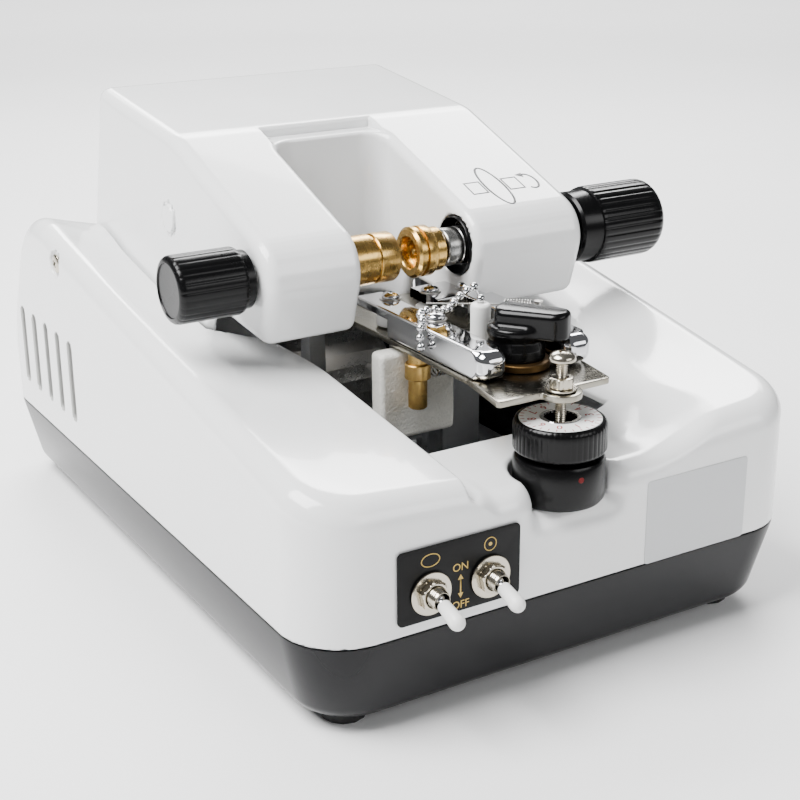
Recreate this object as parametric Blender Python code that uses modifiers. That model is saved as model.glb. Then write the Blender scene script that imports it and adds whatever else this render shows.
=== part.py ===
"""Lens groover: a bench machine that cuts a fine groove round the edge of a spectacle lens.

A dark tray carries a white casing. A hinged head holds two chucks that clamp the lens and
turn it on a small diamond wheel. A steel table round the wheel carries two guide arms with
nylon rollers, a wing knob that opens the arms, and a screw that rests on the depth dial.

Units are metres, +Z is up, and the front of the machine faces -Y. Places are measured from
the middle of the casing's footprint and from the floor. The whole machine hangs on its tray,
which puts the middle of its bounding box over the world's origin.
"""
import math

import bmesh
import bpy
from mathutils import Matrix, Vector

# Whole machine
gap = 0.0003                  # space between pieces that touch
overrun = 0.004               # how far a cutter runs past what it cuts
wall = 0.003                  # moulded wall of the tray, the casing and the head
case_width = 0.180
case_depth = 0.2665
case_corner = 0.020
foot_height = 0.004
tray_top = 0.0312
tray_taper = 0.006            # how far the tray draws in at its bottom
tray_edge = 0.005
seam_gap = 0.0004

# Casing: rim heights along the side, as places along the depth and heights over the floor
rim_rise = 0.18               # slope share of the rim
rim_middle = 0.0985
rim_top = 0.1095
shoulder_start = 0.082
shoulder_depth = 0.030
shoulder_drop = 0.020
back_foot = 0.0312            # height where the leaning back meets the seam
deck_edge = 0.008             # rounding of the outer edge of the deck
dish_front_share = 0.06       # inward fall of the deck at the front
dish_middle_share = 0.19
dish_back_share = 0.46
dish_middle = -0.043
dish_back = 0.020
dish_end = 0.070

# Channel in the deck and the opening for the mechanism
channel_floor = 0.0665
channel_left = -0.038
channel_right = 0.0395
channel_flare_front = 0.040   # how far the right wall leans out over the cutter's height
channel_flare_back = 0.047
channel_lift = 0.040
bay_front = -0.094
bay_left = -0.031
bay_right = 0.040
slot_front = -0.008           # where the slot for the head starts
slot_side_gap = 0.0012
slot_floor = 0.081
slot_back = 0.100

# Side screws, vents and front switches
screw_place = (0.0605, 0.0996)
screw_well_radius = 0.0047
screw_well_depth = 0.0016
screw_radius = 0.0034
screw_head_height = 0.0012
bolt_radius = 0.0015
stay_lap = 0.0005             # how far the cover's stays stand on the chassis's edge
stay_thick = 0.002
stay_half = 0.0035
vent_count = 5
vent_first = 0.052
vent_pitch = 0.01325
vent_width = 0.003
vent_low = 0.042
vent_high = 0.0725
switch_height = 0.0436
switch_left = -0.0529
switch_pitch = 0.020
switch_hole_radius = 0.0033
panel_width = 0.041
panel_height = 0.0227
panel_thick = 0.0006
panel_centre = (-0.043, 0.0466)
switch_body_size = (0.0125, 0.0135, 0.0115)
bushing_length = 0.0062
nut_width = 0.0080
nut_thick = 0.0020
washer_radius = 0.0066
washer_thick = 0.0007
lever_length = 0.0123
lever_tip_radius = 0.0026
lever_root_radius = 0.0012
lever_ball_radius = 0.0018
lever_clear = 0.0023
lever_sunk = 0.0020           # depth of the tilting point inside the bushing's mouth
lever_sleeve_start = 0.0012
lever_rest = math.radians(18.0)

# Power inlet in the back
inlet_size = (0.028, 0.0200, 0.020)
inlet_inset = 0.024           # from the left flank to the inlet's middle
inlet_place = (inlet_inset - case_width / 2, 0.060)
inlet_flange = 0.0022
inlet_rim = 0.0025
fuse_x = -0.0150
fuse_radius = 0.0070
fuse_cap = 0.0070

# Chassis
chassis_thick = 0.002
chassis_low = 0.0095
chassis_side_clear = 0.011    # from the flanks to the chassis's edge
chassis_end_clear = 0.01625
chassis_size = (case_width - chassis_side_clear * 2, case_depth - chassis_end_clear * 2)
chassis_corner = 0.012
stay_x = chassis_size[0] / 2 - stay_lap

# Head: side outline as places along the depth and heights
head_half = 0.0603
head_back_low = (0.1055, 0.0850)
head_back_top = (0.0847, 0.1572)
head_break = (0.0170, 0.1487)
head_nose = (-0.0570, 0.1215)
head_chin = (-0.0480, 0.0925)
head_step_top = (-0.0100, 0.0960)
head_step_low = (-0.0060, 0.0850)
head_nose_radius = 0.014
head_break_radius = 0.030
head_edge = 0.0045
recess_left = -0.0270
recess_right = 0.0210
recess_back = 0.0110
recess_corner = 0.0090
rebate_depth = 0.0065
rebate_drop = 0.0040
plug_place = (0.0227, 0.1200)
plug_radius = 0.0050
plug_height = 0.0008

# Head hinge
hinge_place = (0.092, 0.076)
hinge_pin_radius = 0.0035
hinge_half = 0.054
bracket_inner = 0.0455
bracket_thick = 0.004
bracket_depth = 0.020
lug_inner = 0.0385
lug_thick = 0.004
lug_width = 0.012
stop_x = 0.048
stop_y = 0.030
stop_radius = 0.004

# Head frame
frame_low = 0.0996
frame_thick = 0.003
frame_half = 0.0545
frame_front = -0.0455
frame_back = 0.0905
frame_recess_gap = 0.0045
upright_thick = 0.003
upright_half = 0.0100
left_uprights = (-0.0540, -0.0345)
right_uprights = (0.0285, 0.0460)

# Chucks
chuck_axis = (-0.040, 0.1135)
chuck_face = -0.0048
chuck_radius = 0.00825
chuck_back = -0.0262
chuck_chamfer = 0.0012
chuck_groove_share = 0.55
shaft_hole_radius = 0.0055
spindle_radius = 0.004
left_knob_in = -0.0615
left_knob_out = -0.0875
left_knob_radius = 0.0107
left_flutes = 14
pulley_radius = 0.0066
pulley_width = 0.006
pulley_flange = 0.0010
left_pulley_x = -0.0425
belt_thick = 0.0011
belt_width = 0.0042
flute_depth_share = 0.055
cup_radius = 0.0085
cup_length = 0.0132
cup_step = 0.0010
cup_ring = 0.0078
cup_pocket_radius = 0.0046
cup_pocket_depth = 0.0035
cup_stub_radius = 0.0035
cup_stub_length = 0.0010
cup_wide_share = 0.65
clamp_radius = 0.0064
clamp_end = 0.078
clamp_travel = 0.012
clamp_hole_radius = 0.0102
clamp_bush_length = 0.006
clamp_knob_in = 0.0610
clamp_knob_out = 0.0970
clamp_knob_radius = 0.0135
clamp_collar = 0.0085
clamp_collar_share = 0.92
clamp_end_round = 0.0022
clamp_flutes = 16
clamp_sleeve_radius = 0.0092

# Lens motor in the head
lens_motor_place = (0.046, 0.1235)
lens_motor_radius = 0.0165
lens_motor_span = (-0.034, 0.024)
lens_motor_shaft_radius = 0.0025

# Groove wheel
wheel_x = -0.0035
wheel_axis = (-0.040, 0.0800)
wheel_radius = 0.0110
wheel_thick = 0.0014
wheel_hub_radius = 0.0045
wheel_hub_length = 0.0022
wheel_shaft_radius = 0.0030
block_span = (0.0052, 0.0262)
block_half = 0.0076
wheel_pulley_lead = 0.0056    # from the bearing block to the middle of the pulley
wheel_pulley_x = block_span[1] + wheel_pulley_lead
wheel_shaft_tail = 0.0054     # from the middle of the pulley to the shaft's end
wheel_shaft_end = wheel_pulley_x + wheel_shaft_tail
wheel_motor_place = (0.028, 0.048)
wheel_motor_radius = 0.0200
wheel_motor_span = (-0.042, 0.0240)

# Table
table_low = 0.0884
table_thick = 0.0020
table_front = -0.1220
table_back = -0.0120
table_left_front = -0.0225
table_right_front = 0.0182
table_left = -0.0186
table_right = 0.0215
table_shoulder = -0.1000
table_corner = 0.0015
table_slot_left = -0.0085
table_slot_right = 0.0030
table_slot_front = -0.0570
table_tab_radius = 0.0062
table_hinge_place = (-0.0160, 0.0850)
table_hinge_pin_radius = 0.0020
table_ear_half = 0.0030
post_side = 0.0262
table_ears = ((-0.0180, -0.0120), (0.0120, 0.0180))
post_size = (0.006, 0.010)

# Adjusting screw and depth dial
dial_place = (-0.0010, -0.1230)
dial_top = 0.0804
dial_knob_low = 0.0712
dial_radius = 0.0146
dial_bore_radius = 0.0050
dial_face_thick = 0.0004
dial_face_inset = 0.0018
dial_flutes = 22
dial_base_top = 0.0700
dial_base_low = 0.0563
dial_base_radius = 0.0146
dial_well_gap = 0.0004
dial_stem_radius = 0.0085
dial_stem_length = 0.0120
cam_radius = 0.0042
cam_top = 0.0758
adjuster_radius = 0.0017
adjuster_head_radius = 0.0040
adjuster_head_height = 0.0030
adjuster_head_low = 0.0995
adjuster_nut_width = 0.0066
adjuster_nut_thick = 0.0032
adjuster_washer_radius = 0.0046
adjuster_washer_thick = 0.0007

# Guide arms
arm_width = 0.0100
arm_height = 0.0090
arm_front = -0.1085
arm_back = -0.0330
arm_left_x = -0.0137
arm_right_x = 0.0172
arm_edge = 0.0010
arm_side_gap = 0.0013
arm_nose_radius = 0.0032
arm_tongue = 0.0200
arm_tongue_thick = 0.0034
pivot_y = -0.0640
pivot_shaft_radius = 0.0031
pivot_shaft_low = 0.0690
pivot_collar_radius = 0.0042
pivot_collar_drop = 0.0042    # from the table's underside down to the collar
pivot_collar_height = 0.0052
pivot_collar_top = table_low - pivot_collar_drop
pivot_collar_span = (pivot_collar_top - pivot_collar_height, pivot_collar_top)
roller_radius = 0.0048
roller_height = 0.0042
roller_y = -0.0425
roller_left_x = -0.0108
roller_right_x = 0.0044
roller_pin_radius = 0.0012
roller_head_radius = 0.0030
roller_head_height = 0.0020
arm_screws = {"left": (-0.0107, -0.0700), "right": (0.0172, -0.0450)}

# Wing knob
wing_place = (0.00175, -0.0960)
cam_short = 0.0100
cam_long = 0.0117
cam_height = 0.0022
wing_stud_radius = 0.0025
wing_hub_radius = 0.0084
wing_waist_radius = 0.0065
wing_paddle_low = 0.1003
wing_paddle_top = 0.1090
wing_length = 0.0190
wing_half_root = 0.0062
wing_half_tip = 0.0048
wing_angle = math.radians(-57.0)

# Peg, chain and springs
peg_place = (0.0005, -0.0785)
peg_radius = 0.0032
peg_stub_radius = 0.0018
peg_top = 0.1085
bead_radius = 0.0012
bead_neck_radius = 0.0004
bead_pitch = 0.0030
bead_count = 12
spring_points = 9               # points in each turn of a spring
collar_spring_radius = 0.0030
collar_spring_wire = 0.00030
collar_spring_turns = 5
collar_spring_pitch = 0.0012
guide_spring_radius = 0.0016
guide_spring_wire = 0.00022
guide_spring_turns = 6
guide_spring_pitch = 0.00105
guide_stud = (0.0190, -0.0835, 0.1030)
guide_hook = (-0.0107, -0.0620, 0.1030)
guide_stud_radius = 0.0009
anchor_half = 0.0026

# Sponge
sponge_low = 0.0565
sponge_high = 0.0865
sponge_x = (-0.0240, 0.0042)
sponge_y = (-0.0585, -0.0514)
holder_thick = 0.0012
holder_lip = 0.004

round_steps = 24
fine_steps = 30
small_steps = 12
pulley_steps = 10
flute_shares = (0.0, 0.45, 0.75)

bodies = {}


def clear_scene():
    """Remove every object and mesh so that the script starts from nothing."""
    for thing in list(bpy.data.objects):
        bpy.data.objects.remove(thing, do_unlink=True)
    for mesh in list(bpy.data.meshes):
        bpy.data.meshes.remove(mesh)


def collection(name):
    """Return the named collection, made under the scene if it's new."""
    found = bpy.data.collections.get(name)
    if found is None:
        found = bpy.data.collections.new(name)
        bpy.context.scene.collection.children.link(found)
    return found


def finish(name, colour, roughness, metallic=0.0):
    """Return a Principled material of one colour."""
    material = bpy.data.materials.new(name)
    material.use_nodes = True
    shader = material.node_tree.nodes["Principled BSDF"]
    shader.inputs["Base Color"].default_value = (*colour, 1.0)
    shader.inputs["Roughness"].default_value = roughness
    shader.inputs["Metallic"].default_value = metallic
    material.diffuse_color = (*colour, 1.0)
    return material


def make_finishes():
    """Return the machine's materials by plain name."""
    return {
        "white": finish("white_plastic", (0.86, 0.87, 0.87), 0.22),
        "charcoal": finish("charcoal_plastic", (0.045, 0.045, 0.05), 0.25),
        "black": finish("black_plastic", (0.012, 0.012, 0.013), 0.3),
        "rubber": finish("rubber", (0.03, 0.03, 0.03), 0.8),
        "steel": finish("ground_steel", (0.55, 0.55, 0.54), 0.3, 1.0),
        "plate": finish("nickelled_steel", (0.62, 0.6, 0.54), 0.3, 1.0),
        "chrome": finish("chrome", (0.85, 0.85, 0.87), 0.06, 1.0),
        "brass": finish("brass", (0.75, 0.55, 0.22), 0.28, 1.0),
        "nylon": finish("white_nylon", (0.85, 0.85, 0.84), 0.45),
        "sponge": finish("sponge", (0.85, 0.83, 0.74), 0.95),
        "zinc": finish("zinc_sheet", (0.5, 0.5, 0.5), 0.45, 1.0),
    }


def mesh_object(name, form):
    """Turn a bmesh into a linked object and free the bmesh."""
    mesh = bpy.data.meshes.new(name)
    form.to_mesh(mesh)
    form.free()
    thing = bpy.data.objects.new(name, mesh)
    collection("lens_groover").objects.link(thing)
    return thing


def settle(thing, weld=False):
    """Apply an object's modifiers, or turn its curve to a mesh, in place of the object."""
    bpy.context.view_layer.update()
    graph = bpy.context.evaluated_depsgraph_get()
    mesh = bpy.data.meshes.new_from_object(thing.evaluated_get(graph))
    mesh.transform(thing.matrix_world)
    name = thing.name
    bpy.data.objects.remove(thing, do_unlink=True)
    form = bmesh.new()
    form.from_mesh(mesh)
    bpy.data.meshes.remove(mesh)
    if weld:
        bmesh.ops.remove_doubles(form, verts=form.verts, dist=gap / 100)
    return mesh_object(name, form)


def block(name, low, high):
    """Return a box between two corners."""
    form = bmesh.new()
    bmesh.ops.create_cube(form, size=1.0)
    size = [b - a for a, b in zip(low, high)]
    middle = [(a + b) / 2 for a, b in zip(low, high)]
    bmesh.ops.scale(form, vec=size, verts=form.verts)
    bmesh.ops.translate(form, vec=middle, verts=form.verts)
    return mesh_object(name, form)


def axis_turn(axis):
    """Return the turn that takes +Z to the named axis."""
    if axis == "X":
        return Matrix.Rotation(math.pi / 2, 4, "Y")
    if axis == "Y":
        return Matrix.Rotation(-math.pi / 2, 4, "X")
    return Matrix.Identity(4)


def turned(name, profile, place, axis="Z", steps=round_steps):
    """Return a turned piece from radius and height pairs that run down its outer side."""
    form = bmesh.new()
    points = [form.verts.new((radius, 0, height)) for radius, height in profile]
    closed = profile[0][0] > 0 and profile[-1][0] > 0
    pairs = list(zip(points, points[1:]))
    if closed:
        pairs.append((points[-1], points[0]))
    for start, end in pairs:
        form.edges.new((start, end))
    thing = mesh_object(name, form)
    screw = thing.modifiers.new("turn", "SCREW")
    screw.steps = steps
    screw.render_steps = steps
    screw.use_merge_vertices = True
    screw.merge_threshold = gap / 100
    thing = settle(thing, weld=True)
    thing.data.transform(Matrix.Translation(place) @ axis_turn(axis))
    return thing


def rod(name, radius, low, high, place, axis="Z", steps=round_steps):
    """Return a plain cylinder along an axis, from low to high past its place."""
    profile = [(0, high), (radius, high), (radius, low), (0, low)]
    return turned(name, profile, place, axis, steps)


def ring(name, outer, inner, low, high, place, axis="Z", steps=round_steps):
    """Return a tube with open ends."""
    profile = [(outer, high), (outer, low), (inner, low), (inner, high)]
    return turned(name, profile, place, axis, steps)


def arc_points(centre, radius, start, end, steps):
    """Return points on an arc between two angles."""
    turn = (end - start) / steps
    return [(centre[0] + radius * math.cos(start + turn * i),
             centre[1] + radius * math.sin(start + turn * i)) for i in range(steps + 1)]


def filleted(corners, steps=4):
    """Return an outline with each corner rounded; a corner is a place and a radius."""
    outline = []
    count = len(corners)
    for index, (place, radius) in enumerate(corners):
        here = Vector(place)
        before = (Vector(corners[index - 1][0]) - here).normalized()
        after = (Vector(corners[(index + 1) % count][0]) - here).normalized()
        if radius <= 0:
            outline.append(tuple(here))
            continue
        half = before.angle(after) / 2
        reach = radius / math.tan(half)
        centre = here + (before + after).normalized() * (radius / math.sin(half))
        first = here + before * reach - centre
        last = here + after * reach - centre
        sweep = first.angle_signed(last)
        for step in range(steps + 1):
            turn = Matrix.Rotation(-sweep * step / steps, 2)
            outline.append(tuple(centre + turn @ first))
    return outline


def extruded(name, outline, low, high, axis="Z"):
    """Return a flat outline drawn out along an axis from low to high."""
    curve = bpy.data.curves.new(name, "CURVE")
    curve.dimensions = "2D"
    curve.fill_mode = "BOTH"
    curve.extrude = (high - low) / 2
    spline = curve.splines.new("POLY")
    spline.points.add(len(outline) - 1)
    for point, place in zip(spline.points, outline):
        point.co = (*place, 0, 1)
    spline.use_cyclic_u = True
    thing = bpy.data.objects.new(name, curve)
    collection("lens_groover").objects.link(thing)
    thing = settle(thing, weld=True)
    thing.data.transform(Matrix.Translation((0, 0, (low + high) / 2)))
    if axis == "X":
        swap = Matrix(((0, 0, 1, 0), (1, 0, 0, 0), (0, 1, 0, 0), (0, 0, 0, 1)))
        thing.data.transform(swap)
    if axis == "Y":
        swap = Matrix(((1, 0, 0, 0), (0, 0, 1, 0), (0, 1, 0, 0), (0, 0, 0, 1)))
        thing.data.transform(swap)
        thing.data.flip_normals()
    return thing


def tube(name, points, radius, resolution=1, shares=None):
    """Return a capped tube along points; shares scale the radius at each point."""
    curve = bpy.data.curves.new(name, "CURVE")
    curve.dimensions = "3D"
    curve.bevel_depth = radius
    curve.bevel_resolution = resolution
    curve.use_fill_caps = True
    spline = curve.splines.new("POLY")
    spline.points.add(len(points) - 1)
    for index, (point, place) in enumerate(zip(spline.points, points)):
        point.co = (*place, 1)
        point.radius = shares[index] if shares else 1.0
    thing = bpy.data.objects.new(name, curve)
    collection("lens_groover").objects.link(thing)
    return settle(thing, weld=True)


def combine(thing, other, operation):
    """Apply one Boolean between two solids and remove the second."""
    boolean = thing.modifiers.new("combine", "BOOLEAN")
    boolean.operation = operation
    boolean.solver = "EXACT"
    boolean.object = other
    result = settle(thing, weld=True)
    bpy.data.objects.remove(other, do_unlink=True)
    return result


def cut(thing, *cutters):
    """Take each cutter away from a solid."""
    for cutter in cutters:
        thing = combine(thing, cutter, "DIFFERENCE")
    return thing


def join(thing, *others):
    """Fuse solids into one."""
    for other in others:
        thing = combine(thing, other, "UNION")
    return thing


def gather(name, things):
    """Put separate solids of one kind into one object."""
    form = bmesh.new()
    for thing in things:
        form.from_mesh(thing.data)
        bpy.data.objects.remove(thing, do_unlink=True)
    return mesh_object(name, form)


def add_body(name, parent=None, place=(0, 0, 0)):
    """Open a moving group at its joint's place; its first piece carries the others."""
    bodies[name] = {"parent": parent, "place": Vector(place), "carrier": None}


def mount_piece(thing, name, body, material, smooth=0.6):
    """Name a finished piece, give it its material and hang it on its body's carrier."""
    thing.name = name
    thing.data.name = name
    group = bodies[body]
    place = group["place"]
    thing.data.transform(Matrix.Translation(-place))
    if group["carrier"] is None:
        above = bodies.get(group["parent"])
        if above:
            thing.parent = above["carrier"]
            thing.location = place - above["place"]
        group["carrier"] = thing
    else:
        thing.parent = group["carrier"]
    thing.data.materials.clear()
    thing.data.materials.append(material)
    thing.data.shade_smooth()
    thing.data.set_sharp_from_angle(angle=smooth)
    return thing


def rounded_rectangle(half_x, half_y, radius, steps=6):
    """Return the outline of a rectangle with round corners."""
    places = [(half_x, half_y), (-half_x, half_y), (-half_x, -half_y), (half_x, -half_y)]
    return filleted([(place, radius) for place in places], steps)


def loft(name, sections):
    """Return a closed solid through loops of equal count, low to high."""
    form = bmesh.new()
    loops = [[form.verts.new(point) for point in section] for section in sections]
    count = len(loops[0])
    for low, high in zip(loops, loops[1:]):
        for i in range(count):
            j = (i + 1) % count
            form.faces.new((low[i], low[j], high[j], high[i]))
    form.faces.new(list(reversed(loops[0])))
    form.faces.new(loops[-1])
    bmesh.ops.recalc_face_normals(form, faces=form.faces)
    bmesh.ops.triangulate(form, faces=form.faces)
    return mesh_object(name, form)


def level(outline, height):
    """Lift a flat outline to a height."""
    return [(x, y, height) for x, y in outline]


def blend_value(place, stations):
    """Return the value at a place, straight between stations of place and value."""
    if place <= stations[0][0]:
        return stations[0][1]
    for (start, first), (end, last) in zip(stations, stations[1:]):
        if place <= end:
            share = (place - start) / (end - start)
            return first + (last - first) * share
    return stations[-1][1]


def rim_height(y):
    """Return the height of the casing's rim at a place along its depth."""
    straight = min(rim_middle + rim_rise * y, rim_top)
    if y <= shoulder_start:
        return straight
    back = case_depth / 2
    arc_end = shoulder_start + shoulder_depth * math.sin(math.pi / 3)
    if y <= arc_end:
        share = (y - shoulder_start) / shoulder_depth
        return straight - shoulder_drop * (1 - math.sqrt(1 - share * share)) * 2
    top = rim_height(arc_end)
    share = (y - arc_end) / (back - arc_end)
    return top + (back_foot - top) * (share * 0.75 + share * share * 0.25)


def deck_height(x, y):
    """Return the deck's height, which falls from the rim towards the middle."""
    front = -case_depth / 2
    stations = [(front, dish_front_share), (dish_middle, dish_middle_share),
                (dish_back, dish_back_share), (dish_end, dish_back_share),
                (shoulder_start + shoulder_depth, 0)]
    fall = blend_value(y, stations)
    return rim_height(y) - fall * max(0, case_width / 2 - deck_edge / 2 - abs(x))


def case_stations(half, corner, steps):
    """Return places along the depth, close together round the corners and the shoulder."""
    ends = [half - corner * (1 - math.sin(math.pi / 2 * i / steps)) for i in range(steps + 1)]
    middle = half - corner
    count = steps * 2
    inner = [-middle + 2 * middle * i / count for i in range(1, count)]
    shoulder = [shoulder_start + shoulder_depth * share / steps for share in range(steps)]
    places = sorted({round(v, 6) for v in [-e for e in ends] + inner + shoulder + ends})
    return places


def case_form(name, inset, lowered, floor, steps=4):
    """Return the casing's solid form: a round-cornered plan under a dished deck."""
    half_x = case_width / 2 - inset
    half_y = case_depth / 2 - inset
    corner = case_corner - inset
    edges = [deck_edge * (1 - math.cos(math.pi / 2 * i / (steps - 1)))
             for i in range(steps)]
    sections = []
    for y in case_stations(half_y, corner, steps):
        beyond = max(0.0, abs(y) - (half_y - corner))
        width = half_x - corner + math.sqrt(max(0.0, corner * corner - beyond * beyond))
        inner = [(width - deck_edge) / 2]
        side = [width - edge for edge in edges] + inner
        line = [-x for x in side] + [0.0] + list(reversed(side))
        section = []
        for x in line:
            out_x = abs(x) - (half_x - corner)
            out_y = abs(y) - (half_y - corner)
            if y > 0:
                inside = width - abs(x)
            elif out_x > 0 and out_y > 0:
                inside = corner - math.hypot(out_x, out_y)
            else:
                inside = corner - max(out_x, out_y)
            fall = max(0.0, deck_edge - max(0.0, inside))
            drop = deck_edge - math.sqrt(deck_edge * deck_edge - fall * fall)
            top = max(deck_height(x, y) - drop - lowered, floor + gap)
            section.append((x, y, top))
        low = [(x, y, floor) for x in reversed(line)]
        sections.append(section + low)
    return loft(name, sections)


def channel_cutter(name, grow):
    """Return the solid of the channel: a straight left wall and a leaning right wall."""
    front = -case_depth / 2 - overrun
    back = slot_front + overrun + grow
    low = channel_floor - grow
    high = channel_floor + channel_lift
    left = channel_left - grow
    right = channel_right + grow
    bottom = [(left, front), (right, front), (right, back), (left, back)]
    top = [(left, front), (right + channel_flare_front, front),
           (right + channel_flare_back, back), (left, back)]
    return loft(name, [level(bottom, low), level(top, high)])


def make_tray(colours):
    """Tray with tapered walls, open at the top, on four rubber feet."""
    half_x = case_width / 2
    half_y = case_depth / 2
    rise = tray_taper / (tray_top - foot_height)

    def shell(inset, low, high):
        """Return the tapered form drawn in by a wall."""
        loops = []
        for height in (low, low + tray_edge / 2, low + tray_edge, high):
            lift = height - low
            round_in = tray_edge * (1 - min(1.0, lift / tray_edge)) ** 2
            draw = inset + rise * (tray_top - height) + round_in
            corner = case_corner - draw / 2
            outline = rounded_rectangle(half_x - draw, half_y - draw, corner, 5)
            loops.append(level(outline, height))
        return loft("tray", loops)

    tray = shell(0, foot_height, tray_top)
    tray = cut(tray, shell(wall, foot_height + wall, tray_top + overrun))
    mount_piece(tray, "lower_tray", "base", colours["charcoal"])
    foot_x = half_x - case_corner
    foot_y = half_y - case_corner
    radius = wall * 2.6
    profile = [(0, foot_height - gap), (radius, foot_height - gap), (radius * 0.88, 0),
               (0, 0)]
    for side, x in (("left", -foot_x), ("right", foot_x)):
        for end, y in (("front", -foot_y), ("rear", foot_y)):
            foot = turned("foot", profile, (x, y, 0), steps=small_steps)
            mount_piece(foot, f"{end}_{side}_foot", "base", colours["rubber"])


def stadium(half_width, low, high, steps=4):
    """Return an upright slot outline round zero with round ends."""
    top = arc_points((0, high - half_width), half_width, 0, math.pi, steps)
    bottom = arc_points((0, low + half_width), half_width, math.pi, 2 * math.pi, steps)
    return top + bottom


def make_casing(colours):
    """White casing: dished deck, channel, slot for the head, well for the dial."""
    floor = tray_top + seam_gap
    casing = case_form("casing", 0, 0, floor)
    casing = cut(casing, channel_cutter("channel", 0))
    casing = round_front_lip(casing)
    cavity = case_form("cavity", wall, wall, floor - overrun, steps=3)
    well_radius = dial_base_radius + dial_well_gap
    guard = rod("guard", well_radius + wall, dial_base_low - gap - wall, rim_top,
                (*dial_place, 0), steps=fine_steps)
    cavity = cut(cavity, channel_cutter("channel_wall", wall), guard)
    casing = cut(casing, cavity)
    casing = cut(casing, *opening_cutters(floor, well_radius))
    casing = cut(casing, *side_cutters(), *switch_holes(), *back_holes())
    mount_piece(casing, "upper_casing", "base", colours["white"])


def opening_cutters(floor, well_radius):
    """Return the cutters of the head's slot, the mechanism's bay and the dial's well."""
    slot_x = head_half + slot_side_gap
    high = rim_top + overrun
    slot = block("slot", (-slot_x, slot_front, floor - overrun), (slot_x, slot_back, high))
    notch = block("notch", (-slot_x, slot_back - gap, slot_floor),
                  (slot_x, case_depth / 2 + overrun, high))
    bay = block("bay", (bay_left, bay_front, floor - overrun),
                (bay_right, slot_front + overrun, high))
    well = rod("well", well_radius, dial_base_low - gap, high, (*dial_place, 0),
               steps=fine_steps)
    stem = rod("stem_hole", dial_stem_radius + gap, floor, high, (*dial_place, 0),
               steps=small_steps)
    return slot, notch, bay, well, stem


def side_cutters():
    """Return the cutters of the vents and the screw seats in both flanks."""
    half_x = case_width / 2
    cutters = []
    for side in (-1, 1):
        slots = []
        reach = sorted((side * (half_x - wall * 2), side * (half_x + overrun)))
        for index in range(vent_count):
            y = vent_first + vent_pitch * index
            shape = [(y + a, b) for a, b in stadium(vent_width / 2, vent_low, vent_high)]
            slots.append(extruded("vent", shape, *reach, axis="X"))
        cutters.append(gather("vents", slots))
        place = (side * half_x, *screw_place)
        cutters.append(rod("screw_hole", bolt_radius + gap, -wall * 2, wall * 2, place, "X",
                           steps=small_steps))
        low, high = sorted((-side * screw_well_depth, side * overrun))
        cutters.append(rod("screw_well", screw_well_radius, low, high, place, "X",
                           steps=small_steps))
    return cutters


def switch_holes():
    """Return the cutters for the two switch barrels in the front wall."""
    return [rod("switch_hole", switch_hole_radius, -overrun, wall + overrun,
                (x, -case_depth / 2, switch_height), axis="Y", steps=small_steps)
            for x in switch_places()]


def switch_places():
    """Return where the two switches sit across the front."""
    return (switch_left, switch_left + switch_pitch)


def back_depth(height):
    """Return how far back the leaning rear wall is at a height."""
    low, high = shoulder_start, case_depth / 2
    for _ in range(40):
        middle = (low + high) / 2
        if rim_height(middle) > height:
            low = middle
        else:
            high = middle
    return low


def round_front_lip(casing):
    """Round the front edge of the channel's floor and return the casing."""
    front = -case_depth / 2
    centre = (front + deck_edge, channel_floor - deck_edge)
    curve = arc_points(centre, deck_edge, math.pi / 2, math.pi, 5)
    corner = [(front - overrun, centre[1]), (front - overrun, channel_floor + gap),
              (centre[0], channel_floor + gap)]
    left, right = channel_left, channel_right + channel_flare_front / 4
    return cut(casing, extruded("lip", corner + curve, left, right, axis="X"))


def on_back_wall(thing, x, height):
    """Lean a piece built round zero, facing +Y, onto the casing's rear wall."""
    reach = inlet_size[2] / 2
    lean = math.atan2(back_depth(height - reach) - back_depth(height + reach), 2 * reach)
    place = Matrix.Translation((x, back_depth(height), height))
    thing.data.transform(place @ Matrix.Rotation(lean, 4, "X"))
    return thing


def make_back_sockets(colours):
    """Power inlet with three pins and a fuse holder, set in the leaning back wall."""
    half_x, half_z = inlet_size[0] / 2, inlet_size[2] / 2
    body = block("inlet", (-half_x, -inlet_size[1], -half_z), (half_x, inlet_flange, half_z))
    rim = inlet_rim
    flange = block("flange", (-half_x - rim, gap, -half_z - rim),
                   (half_x + rim, inlet_flange, half_z + rim))
    body = join(body, flange)
    inner = wall / 2
    well = block("well", (-half_x + inner * 2, -inlet_size[1] + wall, -half_z + inner * 2),
                 (half_x - inner * 2, inlet_flange + overrun, half_z - inner * 2))
    body = cut(body, well)
    mount_piece(on_back_wall(body, *inlet_place), "power_inlet", "base", colours["black"])
    profile = [(0, fuse_cap), (fuse_radius * 0.8, fuse_cap), (fuse_radius, gap),
               (fuse_radius * 0.7, gap), (fuse_radius * 0.7, -inlet_size[1]),
               (0, -inlet_size[1])]
    fuse = turned("fuse", profile, (0, 0, 0), axis="Y", steps=small_steps)
    fuse = on_back_wall(fuse, fuse_x, inlet_place[1])
    mount_piece(fuse, "fuse_holder", "base", colours["black"])


def back_holes():
    """Return the cutters for the sockets in the rear wall."""
    half_x, half_z = inlet_size[0] / 2 + gap, inlet_size[2] / 2 + gap
    hole = block("hole", (-half_x, -inlet_size[1], -half_z), (half_x, overrun, half_z))
    fuse = rod("hole", fuse_radius * 0.7 + gap, -inlet_size[1], overrun, (0, 0, 0), axis="Y",
               steps=small_steps)
    return on_back_wall(hole, *inlet_place), on_back_wall(fuse, fuse_x, inlet_place[1])


def screw_pillars():
    """Return the four places where the chassis stands on the tray."""
    x, y = chassis_size[0] / 2 - chassis_corner, chassis_size[1] / 2 - chassis_corner
    return [(-x, -y), (x, -y), (-x, y), (x, y)]


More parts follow.
